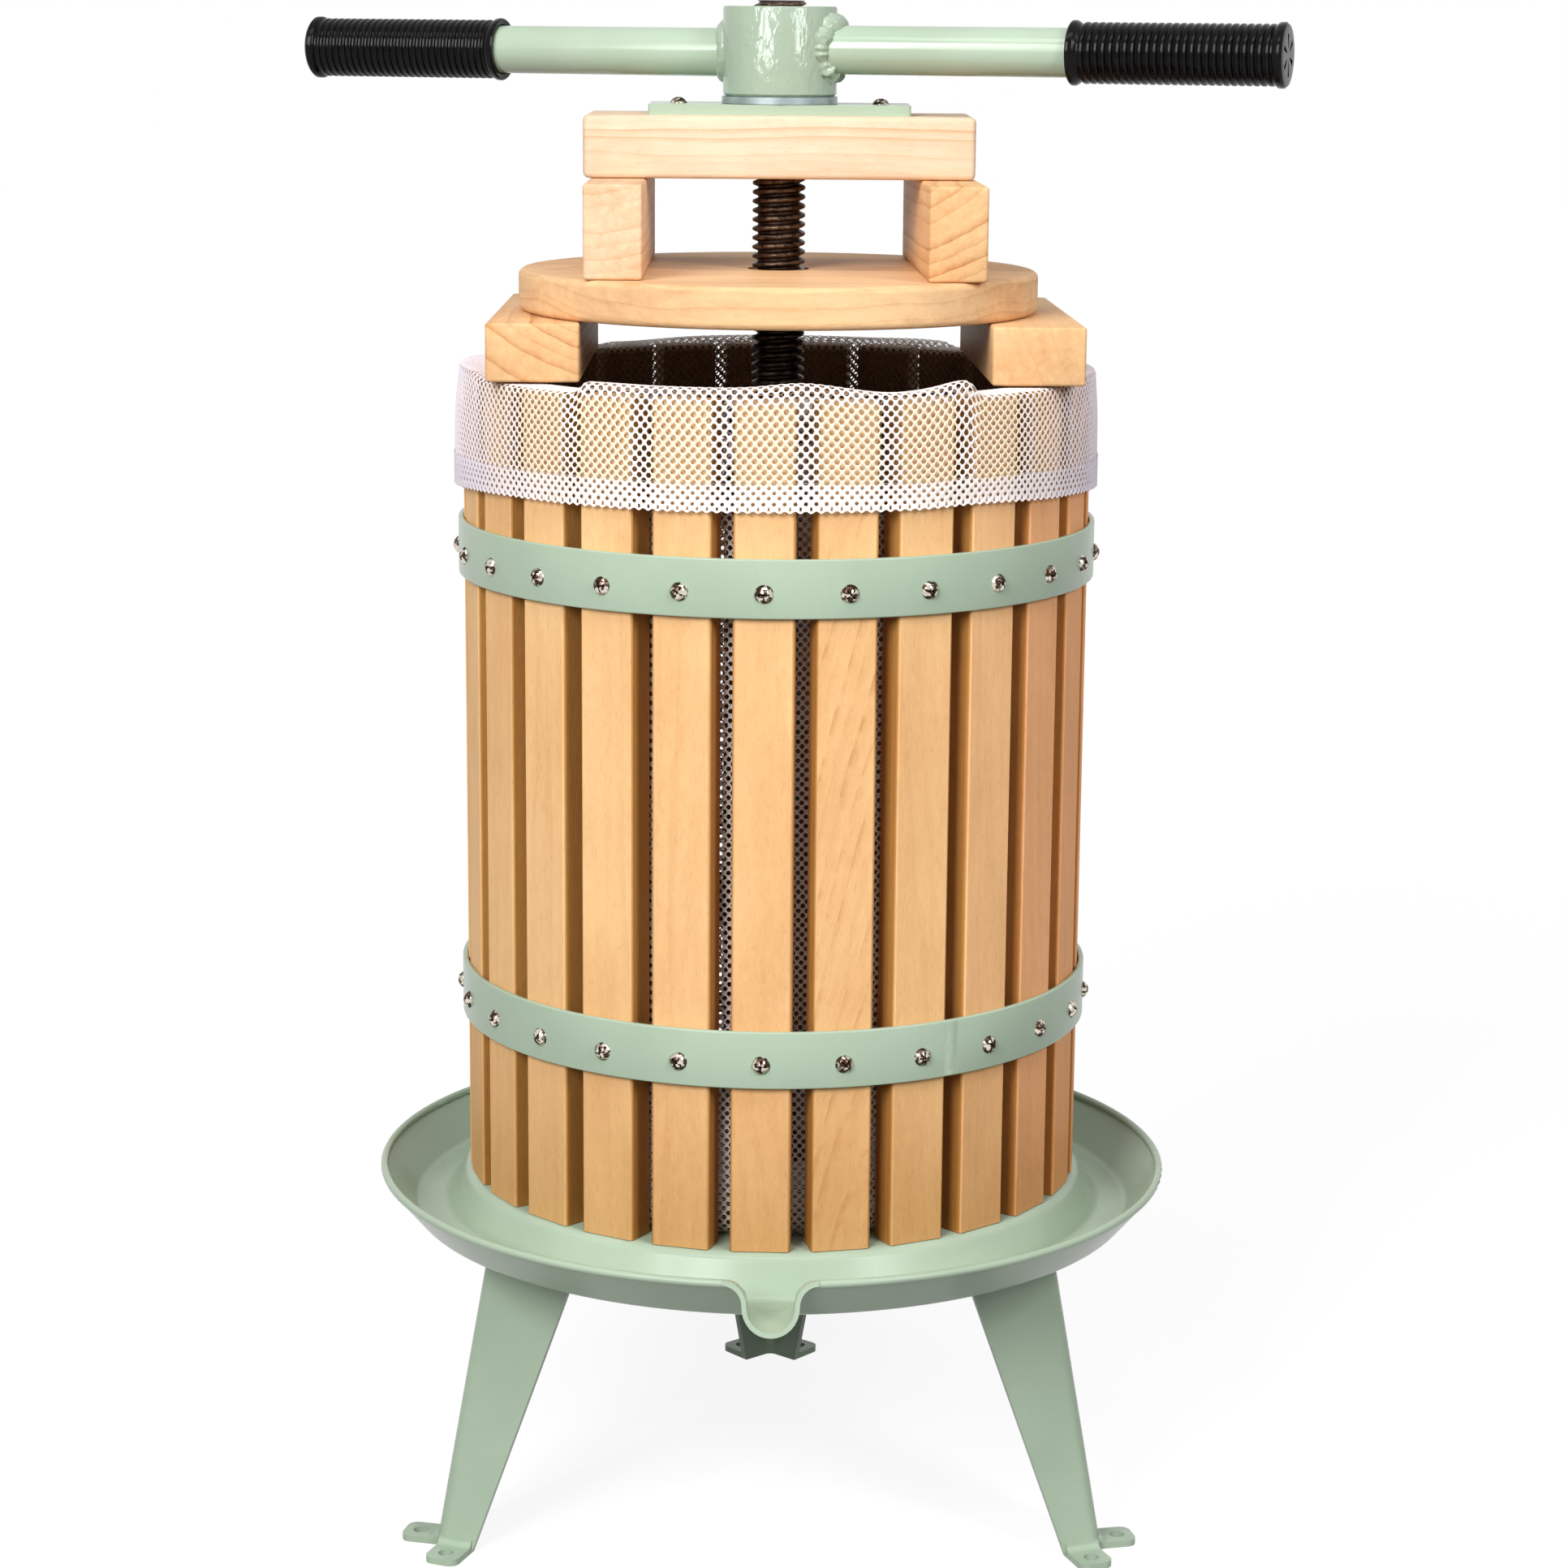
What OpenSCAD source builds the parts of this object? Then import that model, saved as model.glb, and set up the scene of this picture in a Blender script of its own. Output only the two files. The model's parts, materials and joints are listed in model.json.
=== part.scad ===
// Fruit press with a slatted basket, a juice tray on three legs and a screw with a turning handle.
// Millimetres. +Z is up and the front, with the pouring lip, faces -Y.
// The origin lies on the floor, on the axis of the screw.

/* [Juice tray] */
// Height of the flat platform that the basket stands on, above the floor
platform_z = 162; // [120:1:220]
// Platform width beyond the basket on each side
platform_margin = 1.5; // [1:0.5:6]
// Thickness of the pressed sheet
tray_t = 1.5; // [1:0.25:2.5]
// Depth of the gutter floor below the platform
gutter_depth = 18; // [12:1:26]
// Width of the sloped step from the platform down to the gutter
shoulder_w = 9; // [8:0.5:12]
// Width of the flat gutter floor
gutter_w = 14; // [10:0.5:20]
// Width of the sloped outer wall
outer_wall_w = 15; // [10:0.5:18]
// Height of the rim above the platform
rim_rise = 1.5; // [0:0.5:10]
// Diameter of the rolled rim
rim_bead_d = 3.6; // [3.2:0.2:6]
// Inside radius of the bend at the edge of the platform
shoulder_r = 6; // [4:0.5:7]

/* [Pouring lip] */
// Inside width of the lip
lip_w = 20.5; // [16:0.5:24]
// Reach of the lip beyond the rim
lip_reach = 6; // [3:0.5:14]
// Fall of the lip floor towards its mouth, in degrees
lip_fall = 2; // [1:0.5:6]
// Radius of the flare from the lip up to the rim
lip_flare = 11; // [8:0.5:12]
// Thickness that the edge of the lip's mouth gains by being turned over
lip_edge_extra = 0.5; // [0.3:0.1:1.5]
// Width of that turned edge
lip_edge_l = 2.4; // [1.6:0.2:4]

/* [Legs] */
// Thickness of the folded sheet
leg_t = 3; // [2:0.25:4]
// Angle between the two faces of a leg
leg_fold_angle = 98; // [90:1:110]
// Width of each face at the tray
leg_top_w = 47; // [38:1:50]
// Width of each face at the floor
leg_foot_w = 19; // [18:0.5:30]
// Distance of the fold from the screw's axis, under the gutter
leg_top_r = 144.5; // [142:0.5:156]
// Distance of the fold from the screw's axis, at the floor
leg_foot_r = 172.5; // [165:0.5:195]
// Angle of each front leg from the front, seen from above
front_leg_angle = 62; // [55:0.5:65]
// Outside radius of the fold
leg_fold_r = 7; // [5:0.5:9]
// Length of a foot tab
tab_l = 17; // [14:0.5:24]
// Distance of a foot tab from the fold
tab_start = 3; // [2:0.5:5]
// Corner radius of a foot tab
tab_corner_r = 4.5; // [2:0.5:6]
// Diameter of the hole in a foot tab
tab_hole_d = 7; // [5:0.5:8]
// Distance of the hole from the bend of the tab
tab_hole_from_bend = 9.5; // [8:0.5:11]

/* [Basket] */
// Outside diameter of the basket
basket_d = 280; // [260:2:300]
// Number of slats
slat_count = 25; // [24:1:26]
// Width of a slat
slat_w = 26; // [22:0.5:28]
// Thickness of a slat
slat_t = 15; // [12:0.5:18]
// Length of a slat
slat_l = 365; // [330:5:400]
// Chamfer along the edges of a slat
slat_chamfer = 1.2; // [0.6:0.2:2]
// Turn of the front slat away from the front, in degrees
slat_start_angle = -2; // [-6:0.5:6]

/* [Hoops] */
// Width of a hoop
hoop_w = 25; // [20:0.5:32]
// Thickness of a hoop
hoop_t = 2.5; // [2:0.25:4]
// Height of the lower hoop's edge above the foot of the slats
lower_hoop_rise = 73.5; // [50:0.5:110]
// Distance of the upper hoop's edge below the top of the slats
upper_hoop_drop = 64.5; // [62:0.5:100]
// Distance of the hoop screws below the middle of their hoop
hoop_screw_drop = 2; // [0:0.5:4]
// Diameter of a hoop screw's head
screw_head_d = 8; // [7:0.5:9]
// Height of a hoop screw's head
screw_head_h = 2.6; // [2:0.2:3]
// Diameter of a hoop screw's shank
screw_d = 3.8; // [3:0.2:4.4]
// Length of a hoop screw's shank
screw_l = 12; // [9:0.5:14]
// Depth of a pilot hole beyond the end of its screw
pilot_spare = 1; // [0.5:0.25:2]

/* [Straining bag] */
// Thickness that the net takes up
bag_t = 1.2; // [0.8:0.2:2]
// Length of the cuff that is folded down outside the basket
cuff_l = 50; // [30:1:58]
// Radius of the net where the wall meets the floor of the bag
bag_floor_r = 8; // [4:1:14]
// Radius of the fold over the rim
bag_fold_r = 1; // [0.5:0.25:2]

/* [Pressing blocks] */
// Wide side of the sawn stock
stock_w = 40; // [34:1:46]
// Narrow side of the sawn stock
stock_t = 25; // [20:0.5:28]
// Length of a block
block_l = 165; // [150:1:180]
// Distance of the lower left block from the axis
lower_left_x = 104; // [98:1:110]
// Distance of the lower right block from the axis
lower_right_x = 108; // [98:1:110]
// Distance of the upper left block from the axis
upper_left_x = 70; // [62:1:76]
// Distance of the upper right block from the axis
upper_right_x = 73; // [62:1:76]
// Turn of the right-hand blocks, which lie a little askew, in degrees
askew_angle = 2; // [0:0.5:3]
// Rounding of the sawn edges
edge_r = 1.5; // [1:0.25:2.5]

/* [Press disc] */
// Diameter of the press disc
disc_d = 230; // [210:2:240]
// Thickness of the press disc
disc_t = 18; // [14:0.5:24]
// Rounding of the disc's edge
disc_edge_r = 3; // [1.5:0.5:5]
// Gap between the two half moons
disc_split = 0.6; // [0.4:0.1:2]

/* [Top beam] */
// Length of the beam
beam_l = 170; // [166:1:190]
// Depth of the beam from front to back
beam_w = 65; // [56:1:80]
// Height of the beam
beam_h = 27; // [20:0.5:32]
// Length of the bearing plate
plate_l = 114; // [100:1:130]
// Depth of the bearing plate
plate_w = 50; // [44:1:56]
// Thickness of the bearing plate
plate_t = 4.5; // [2:0.5:6]
// Distance between the two plate screws
plate_screw_span = 89; // [76:1:92]
// Diameter of the thrust washer
thrust_washer_d = 51; // [46:1:56]
// Thickness of the thrust washer
thrust_washer_t = 3; // [2:0.5:5]

/* [Screw] */
// Outside diameter of the screw's thread
spindle_d = 23.5; // [21:0.5:24]
// Rise of the screw above the top of the handle's nut
spindle_end = 2.5; // [1.5:0.5:6]
// Chamfer at the upper end of the screw
spindle_chamfer = 1.5; // [0.5:0.25:2]
// Diameter of the collar that stands on the platform
collar_d = 36; // [32:1:40]
// Height of the collar
collar_h = 10; // [6:0.5:16]
// Diameter of the stub that goes through the platform
stub_d = 20; // [16:0.5:20]
// Length of the stub that stands out below the base nut
stub_end = 4; // [2:0.5:8]
// Width across the flats of the base nut
base_nut_flats = 30; // [28:1:36]
// Height of the base nut
base_nut_h = 16; // [12:0.5:20]
// Diameter of the base washer
base_washer_d = 60; // [46:1:80]
// Thickness of the base washer
base_washer_t = 3; // [2:0.5:5]

/* [Handle] */
// Diameter of the round nut in the middle of the handle
hub_d = 50; // [46:1:56]
// Height of the round nut
hub_h = 38.5; // [34:0.5:50]
// Length of the handle from end to end
handle_l = 452; // [400:1:520]
// Turn of the handle away from the side, in degrees
handle_turn = -20; // [-30:1:30]
// Height of the right-hand tube above the left-hand one, as welded
tube_step = 1.5; // [0:0.25:3]
// Diameter of a handle tube
tube_d = 21; // [20:0.5:24]
// Wall of a handle tube
tube_t = 2; // [1.5:0.25:3]
// Length of a grip
grip_l = 93.5; // [86:0.5:120]
// Diameter of a grip over its ribs
grip_d = 26; // [25:0.5:29]
// Diameter of a grip's end flanges
flange_d = 27.5; // [26.5:0.5:31]
// Distance from one rib of a grip to the next
rib_pitch = 3.3; // [3:0.1:4.5]
// Height of the ribs of a grip
rib_h = 1; // [0.4:0.1:1.4]
// Length of a grip's end flange
flange_l = 3; // [2:0.25:5]
// Chamfer on the outer edge of a flange
flange_chamfer = 0.8; // [0.4:0.1:1]
// Thickness of the cap that closes a grip's outer end
grip_cap = 3; // [2:0.25:5]

/* [Clearances] */
// Gap between loose pieces that lie on each other
seat_gap = 0.2; // [0.1:0.05:0.3]
// Gap beside a screw shank, stub or tube that sits tight
tight_gap = 0.05; // [0.02:0.01:0.1]
// Gap between the screw and a nut that runs on it
thread_gap = 0.1; // [0.05:0.05:0.3]
// Gap between the screw and a piece that it only passes through
pass_gap = 2; // [1:0.25:3]
// Gap between a screw shank and the edge of its hole in the sheet
hole_gap = 0.3; // [0.1:0.05:0.5]
// Gap between the straining bag and the wood
bag_gap = 0.3; // [0.2:0.05:0.5]

/* [Hidden] */
$fn = 64;
// Facets of large rounds and of small ones
large_fn = 128;
small_fn = 32;
// Steps of a rounded corner in a path
round_steps = 8;
// Longer than anything that a cut has to clear
far = 1000;
// Length by which a cut runs past the face that it opens
past = 1;

basket_r = basket_d / 2;
platform_r = basket_r + platform_margin;
gutter_z = platform_z - gutter_depth;
gutter_in_r = platform_r + shoulder_w;
gutter_out_r = gutter_in_r + gutter_w;
rim_r = gutter_out_r + outer_wall_w + rim_bead_d / 2;
rim_z = platform_z + rim_rise;
platform_under = platform_z - tray_t;
gutter_under = gutter_z - tray_t;

lip_r = lip_w / 2;
lip_up = rim_z - gutter_z + (rim_r - gutter_out_r) * tan(lip_fall);
// A short straight stretch between two rounds of the lip
lip_straight = 0.2;
lip_floor_r = lip_r - lip_straight;
lip_flare_r = min(lip_flare, lip_up - lip_floor_r - lip_straight);
lip_flat = lip_r + lip_flare_r + lip_straight;
lip_edge_t = tray_t + lip_edge_extra;

leg_angles = [-front_leg_angle, front_leg_angle, 180];
leg_half = leg_fold_angle / 2;
leg_lean = atan((leg_foot_r - leg_top_r) / gutter_under);
// Length and width that the trimming of a leg takes off
leg_spare = 20;

slat_foot = platform_z + seat_gap;
slat_top = slat_foot + slat_l;
slat_face_r = sqrt(basket_r * basket_r - pow(slat_w / 2 - slat_chamfer, 2));
slat_back_r = slat_face_r - slat_t;
hoop_in_r = basket_r + tight_gap;
hoop_out_r = hoop_in_r + hoop_t;
upper_hoop_rise = slat_l - upper_hoop_drop - hoop_w;
hoop_rises = [lower_hoop_rise, upper_hoop_rise];
hoop_screw_rise = hoop_w / 2 - hoop_screw_drop;
sheet_hole_d = screw_d + 2 * hole_gap;
pilot_d = screw_d + 2 * tight_gap;
pilot_l = screw_l + pilot_spare;

bag_in_r = slat_back_r - bag_gap;
bag_out_r = basket_r + 2 * bag_gap;
bag_top = slat_top + seat_gap;

lower_block_z = bag_top + bag_t + seat_gap;
disc_z = lower_block_z + stock_t + seat_gap;
upper_block_z = disc_z + disc_t + seat_gap;
beam_z = upper_block_z + stock_w + seat_gap;
plate_z = beam_z + beam_h;
washer_z = plate_z + plate_t + seat_gap;
hub_z = washer_z + thrust_washer_t + seat_gap;
spindle_top = hub_z + hub_h + spindle_end;
pass_d = spindle_d + 2 * pass_gap;
nut_bore_d = spindle_d + 2 * thread_gap;
tube_z = hub_z + hub_h / 2;
handle_r = handle_l / 2;
grip_root_d = grip_d - 2 * rib_h;

function slat_name(k) = str("slat_", k < 10 ? "0" : "", k);

function unit(v) = v / norm(v);
function left_of(v) = [-v[1], v[0]];
function turn_between(a, b) = (b - a + 540) % 360 - 180;

// The corner at q between p and s, rounded with radius r.
function rounded_corner(p, q, s, r) =
    let (a = unit(p - q), b = unit(s - q), half = acos(a * b) / 2,
         c = q + unit(a + b) * r / sin(half), foot = r / tan(half),
         start = q + a * foot - c, end = q + b * foot - c,
         from = atan2(start[1], start[0]), turn = turn_between(from, atan2(end[1], end[0])))
    [for (i = [0:round_steps]) let (at = from + turn * i / round_steps) c + r * [cos(at), sin(at)]];

// An open path whose inner corners are rounded; radii has one value for each inner corner.
function rounded_path(p, radii) = concat([p[0]],
    [for (i = [1:len(p) - 2]) each rounded_corner(p[i - 1], p[i], p[i + 1], radii[i - 1])], [p[len(p) - 1]]);

// The same path moved to its left by t, with mitred corners.
function shifted_path(p, t) = [for (i = [0:len(p) - 1])
    let (a = unit(i == 0 ? p[1] - p[0] : p[i] - p[i - 1]),
         b = i == len(p) - 1 ? a : unit(p[i + 1] - p[i]), n = unit(left_of(a) + left_of(b)))
    p[i] + n * t / (n * left_of(a))];

// The outline of bent sheet that lies to the left of a path, or to its right where t is negative.
function sheet_outline(p, t) = let (q = shifted_path(p, t))
    concat(p, [for (i = [len(q) - 1:-1:0]) q[i]]);

// A rectangle centred on the origin with true round corners.
module round_square(w, h, r) {
    square([w - 2 * r, h], center = true);
    square([w, h - 2 * r], center = true);
    for (x = [-1, 1], y = [-1, 1])
        translate([x * (w / 2 - r), y * (h / 2 - r)]) circle(r, $fn = small_fn);
}

// A hole along -Y that starts at y = -from_r and goes towards the axis.
module hole_from_front(d, from_r, l) {
    translate([0, -from_r, 0]) rotate([-90, 0, 0]) cylinder(d = d, h = l);
}

// The space of a round bore through a piece of height h that stands at z = 0.
module through_bore(d, h) {
    translate([0, 0, -past]) cylinder(d = d, h = h + 2 * past);
}

// The upper surface of the tray, from the screw to the rim.
function tray_path() = rounded_path(
    [[stub_d / 2 + tight_gap, platform_z], [platform_r, platform_z], [gutter_in_r, gutter_z],
     [gutter_out_r, gutter_z], [rim_r - rim_bead_d / 2, rim_z - rim_bead_d / 2]],
    [shoulder_r, shoulder_r - tray_t, shoulder_r - tray_t]);

// Draws a profile of the lip, given in X and Z above the gutter floor, outwards from the gutter.
module lip_run() {
    translate([0, past - gutter_out_r, gutter_z]) rotate([90 + lip_fall, 0, 0])
        linear_extrude(rim_r + 2 * lip_reach - gutter_out_r) children();
}

// The free inside of the lip seen from the front: a round-bottomed channel that flares to the rim.
function lip_path() = rounded_path(
    [[-lip_flat, lip_up], [-lip_r, lip_up], [-lip_r, 0], [lip_r, 0], [lip_r, lip_up], [lip_flat, lip_up]],
    [lip_flare_r, lip_floor_r, lip_floor_r, lip_flare_r]);

// A cone round the axis that leans out from the rim to the reach of the lip at its floor.
module lip_reach_cone(back) {
    drop = rim_z - gutter_z;
    translate([0, 0, rim_z - 2 * drop])
        cylinder(r1 = rim_r + 2 * lip_reach - back, r2 = rim_r - back, h = 2 * drop, $fn = large_fn);
}

module tray() color("#A9BFA8") {
    difference() {
        rotate_extrude($fn = large_fn) {
            polygon(sheet_outline(tray_path(), -tray_t));
            translate([rim_r - rim_bead_d / 2, rim_z - rim_bead_d / 2])
                circle(d = rim_bead_d, $fn = small_fn);
        }
        lip_run() polygon(concat(lip_path(), [[lip_flat, far], [-lip_flat, far]]));
    }
    difference() {
        union() {
            intersection() {
                lip_run() polygon(sheet_outline(lip_path(), -tray_t));
                lip_reach_cone(0);
            }
            // The thickened edge of the mouth.
            intersection() {
                lip_run() polygon(sheet_outline(lip_path(), -lip_edge_t));
                difference() {
                    lip_reach_cone(0);
                    lip_reach_cone(lip_edge_l);
                }
            }
        }
        // The inside of the tray stays free.
        rotate_extrude($fn = large_fn)
            polygon(concat(tray_path(), [[rim_r - rim_bead_d / 2, far], [stub_d / 2, far]]));
    }
}

// One face of a leg ends in a foot tab that is bent outwards and drilled.
module foot_tab(side) {
    translate([leg_foot_r, 0, 0]) rotate([0, 0, side * (180 - leg_half)]) mirror([0, side > 0 ? 0 : 1, 0])
        translate([tab_start, 0, 0]) {
            difference() {
                translate([0, -tab_l, 0]) linear_extrude(leg_t) difference() {
                    square([leg_foot_w - tab_start, tab_l + leg_t]);
                    for (x = [0, 1]) translate([x * (leg_foot_w - tab_start), 0]) mirror([x, 0])
                        difference() {
                            translate([-past, -past]) square(tab_corner_r + past);
                            translate([tab_corner_r, tab_corner_r]) circle(tab_corner_r, $fn = small_fn);
                        }
                }
                translate([(leg_foot_w - tab_start) / 2, -tab_hole_from_bend, 0])
                    through_bore(tab_hole_d, leg_t);
            }
            // The rounded inside of the bend.
            translate([0, 0, leg_t]) rotate([90, 0, 90]) linear_extrude(leg_foot_w - tab_start)
                difference() {
                    translate([-leg_t, -past]) square([2 * leg_t, leg_t + past]);
                    translate([-leg_t, leg_t]) circle(leg_t, $fn = small_fn);
                }
        }
}

// A leg is one folded sheet whose top is cut to the shape of the tray's underside and welded to it.
module leg(angle) color("#A9BFA8") rotate([0, 0, angle - 90]) {
    wide = leg_top_w + leg_spare;
    reach = wide * cos(leg_half) * cos(leg_lean);
    fold = [[-reach, -wide * sin(leg_half)], [0, 0], [-reach, wide * sin(leg_half)]];
    // Growth of a face per millimetre of height, measured from the foot of the fold.
    widening = (leg_top_w - leg_foot_w + (leg_foot_r - leg_top_r) * cos(leg_half)) / gutter_under;
    difference() {
        // The folded sheet leans inwards.
        translate([leg_foot_r, 0, 0]) rotate([0, -leg_lean, 0]) translate([0, 0, -leg_spare])
            linear_extrude(platform_z / cos(leg_lean) + 2 * leg_spare)
                polygon(sheet_outline(rounded_path(fold, [leg_fold_r]), leg_t));
        // Its faces widen upwards.
        for (side = [-1, 1]) translate([leg_foot_r, 0, 0]) rotate([0, 0, side * (180 - leg_half)])
            rotate([90, 0, 0]) translate([0, 0, -far / 2]) linear_extrude(far)
                polygon([[leg_foot_w - leg_spare * widening, -leg_spare],
                         [leg_foot_w + platform_z * widening, platform_z],
                         [far, platform_z], [far, -leg_spare]]);
        translate([-far / 2, -far / 2, -far]) cube(far);
        rotate_extrude($fn = large_fn) translate([-seat_gap, 0])
            polygon(concat(shifted_path(tray_path(), -tray_t),
                [[far, platform_z], [far, far], [stub_d / 2, far]]));
    }
    for (side = [-1, 1]) foot_tab(side);
}

module spindle() color("#3A302C") {
    translate([0, 0, platform_z]) {
        cylinder(d = collar_d, h = collar_h);
        cylinder(d = spindle_d, h = spindle_top - platform_z - spindle_chamfer);
        translate([0, 0, spindle_top - platform_z - spindle_chamfer])
            cylinder(d1 = spindle_d, d2 = spindle_d - 2 * spindle_chamfer, h = spindle_chamfer);
    }
    stub_l = tray_t + base_washer_t + base_nut_h + stub_end;
    translate([0, 0, platform_z - stub_l]) cylinder(d = stub_d, h = stub_l + past);
}

module base_washer() color("#9AA0A6")
    translate([0, 0, platform_under - base_washer_t]) difference() {
        cylinder(d = base_washer_d, h = base_washer_t);
        through_bore(stub_d + 2 * tight_gap, base_washer_t);
    }

module base_nut() color("#9AA0A6")
    translate([0, 0, platform_under - base_washer_t - base_nut_h]) difference() {
        cylinder(d = base_nut_flats / cos(30), h = base_nut_h, $fn = 6);
        through_bore(stub_d + 2 * tight_gap, base_nut_h);
    }

function slat_angle(k) = slat_start_angle + (k - 1) * 360 / slat_count;

module slat(k) color(k % 2 == 0 ? "#E0B27A" : "#E6BC86") rotate([0, 0, slat_angle(k)]) difference() {
    w = slat_w / 2;
    c = slat_chamfer;
    translate([0, 0, slat_foot]) linear_extrude(slat_l) polygon(
        [[-w + c, -slat_face_r], [w - c, -slat_face_r], [w, -slat_face_r + c], [w, -slat_back_r - c],
         [w - c, -slat_back_r], [-w + c, -slat_back_r], [-w, -slat_back_r - c], [-w, -slat_face_r + c]]);
    for (rise = hoop_rises) translate([0, 0, slat_foot + rise + hoop_screw_rise])
        hole_from_front(pilot_d, slat_face_r + past, pilot_l - (hoop_out_r - slat_face_r) + past);
}

module hoop(rise) color("#9FB7A2") translate([0, 0, slat_foot + rise]) difference() {
    cylinder(r = hoop_out_r, h = hoop_w, $fn = large_fn);
    translate([0, 0, -past]) cylinder(r = hoop_in_r, h = hoop_w + 2 * past, $fn = large_fn);
    for (k = [1:slat_count]) rotate([0, 0, slat_angle(k)]) translate([0, 0, hoop_screw_rise])
        hole_from_front(sheet_hole_d, hoop_out_r + past, hoop_t + 3 * past);
}

// A domed screw that points to +Z, with its seat at z = 0.
module domed_screw(head_d, head_h, d, l) {
    dome_r = (head_h * head_h + head_d * head_d / 4) / (2 * head_h);
    intersection() {
        cylinder(d = head_d, h = head_h + past);
        translate([0, 0, head_h - dome_r]) sphere(dome_r);
    }
    translate([0, 0, -l]) cylinder(d = d, h = l + head_h / 2);
}

module hoop_screws(rise) color("#C9C9C6")
    for (k = [1:slat_count]) rotate([0, 0, slat_angle(k)])
        translate([0, -hoop_out_r, slat_foot + rise + hoop_screw_rise]) rotate([90, 0, 0])
            domed_screw(screw_head_d, screw_head_h, screw_d, screw_l);

// The bag lines the basket, lies on the platform round the collar and is folded over the rim.
module straining_bag() color("#EDE6EE") {
    floor_z = platform_z + bag_gap;
    run = rounded_path(
        [[collar_d / 2 + bag_gap, floor_z], [bag_in_r, floor_z], [bag_in_r, bag_top],
         [bag_out_r, bag_top], [bag_out_r, slat_top - cuff_l]],
        [bag_floor_r + bag_t, bag_fold_r, bag_fold_r]);
    rotate_extrude($fn = large_fn) polygon(sheet_outline(run, bag_t));
}

// A sawn block that lies from front to back, with its lower face at z = 0.
module block(x, z, w, h, turn) color("#F0C58C")
    translate([x, 0, z + h / 2]) rotate([90, 0, turn]) translate([0, 0, -block_l / 2])
        linear_extrude(block_l) round_square(w, h, edge_r);

module lower_block(side) {
    if (side < 0) block(-lower_left_x, lower_block_z, stock_w, stock_t, 0);
    else block(lower_right_x, lower_block_z, stock_w, stock_t, askew_angle);
}

module upper_block(side) {
    if (side < 0) block(-upper_left_x, upper_block_z, stock_t, stock_w, 0);
    else block(upper_right_x, upper_block_z, stock_t, stock_w, askew_angle);
}

// Half of the press disc: side is -1 for the front half and 1 for the back half.
module press_disc(side) color("#EBBE87") difference() {
    r = disc_d / 2;
    translate([0, 0, disc_z]) rotate_extrude($fn = large_fn) polygon(concat([[0, 0]],
        [each rounded_path([[0, 0], [r, 0], [r, disc_t], [0, disc_t]], [disc_edge_r, disc_edge_r])]));
    translate([0, 0, disc_z]) through_bore(pass_d, disc_t);
    translate([-far / 2, side < 0 ? -disc_split / 2 : disc_split / 2 - far, 0]) cube(far);
}

module top_beam() color("#F3CD99") difference() {
    translate([-beam_l / 2, 0, beam_z + beam_h / 2]) rotate([90, 0, 90])
        linear_extrude(beam_l) round_square(beam_w, beam_h, edge_r);
    translate([0, 0, beam_z]) through_bore(pass_d, beam_h);
    for (x = [-1, 1]) translate([x * plate_screw_span / 2, 0, beam_z + beam_h - pilot_l])
        cylinder(d = pilot_d, h = pilot_l + past);
}

module beam_plate() color("#A9C3AB") translate([0, 0, plate_z]) difference() {
    linear_extrude(plate_t) round_square(plate_l, plate_w, edge_r);
    through_bore(pass_d, plate_t);
    for (x = [-1, 1]) translate([x * plate_screw_span / 2, 0, 0]) through_bore(sheet_hole_d, plate_t);
}

module beam_plate_screws() color("#C9C9C6")
    for (x = [-1, 1]) translate([x * plate_screw_span / 2, 0, plate_z + plate_t])
        domed_screw(screw_head_d, screw_head_h, screw_d, screw_l);

module thrust_washer() color("#8F9AA6") translate([0, 0, washer_z]) difference() {
    cylinder(d = thrust_washer_d, h = thrust_washer_t);
    through_bore(nut_bore_d, thrust_washer_t);
}

module hub_nut() color("#A9BFA8") translate([0, 0, hub_z]) difference() {
    cylinder(d = hub_d, h = hub_h);
    through_bore(nut_bore_d, hub_h);
}

// Places a piece that is drawn along +Z on the handle's axis, pointing away from the nut.
module on_handle(side, from_r) {
    translate([0, 0, tube_z + side * tube_step / 2]) rotate([0, 0, handle_turn]) rotate([0, side * 90, 0])
        translate([0, 0, from_r]) children();
}

// A tube whose inner end is cut to the round of the nut.
module handle_tube(side) color("#A9BFA8") difference() {
    on_handle(side, hub_d / 2 - tube_d / 4) difference() {
        cylinder(d = tube_d, h = handle_r - hub_d / 2 + tube_d / 4 - grip_cap);
        translate([0, 0, -past]) cylinder(d = tube_d - 2 * tube_t, h = far);
    }
    translate([0, 0, hub_z]) through_bore(hub_d, hub_h);
}

// A moulded sleeve with ribs, a flange at both ends and a closed outer end.
module grip(side) color("#17130F") on_handle(side, handle_r - grip_l) difference() {
    ribs = floor((grip_l - 2 * flange_l) / rib_pitch);
    pitch = (grip_l - 2 * flange_l) / ribs;
    root = grip_root_d / 2;
    crest = grip_d / 2;
    edge = flange_d / 2;
    c = flange_chamfer;
    rotate_extrude() polygon(concat(
        [[0, 0], [edge - c, 0], [edge, c], [edge, flange_l - c], [root, flange_l]],
        [for (i = [0:ribs - 1]) each [for (s = [[0.2, root], [0.35, crest], [0.75, crest], [0.9, root]])
            [s[1], flange_l + (i + s[0]) * pitch]]],
        [[root, grip_l - flange_l], [edge, grip_l - flange_l + c], [edge, grip_l - c], [edge - c, grip_l],
         [0, grip_l]]));
    translate([0, 0, -past]) cylinder(d = tube_d, h = grip_l - grip_cap + past);
}

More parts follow.
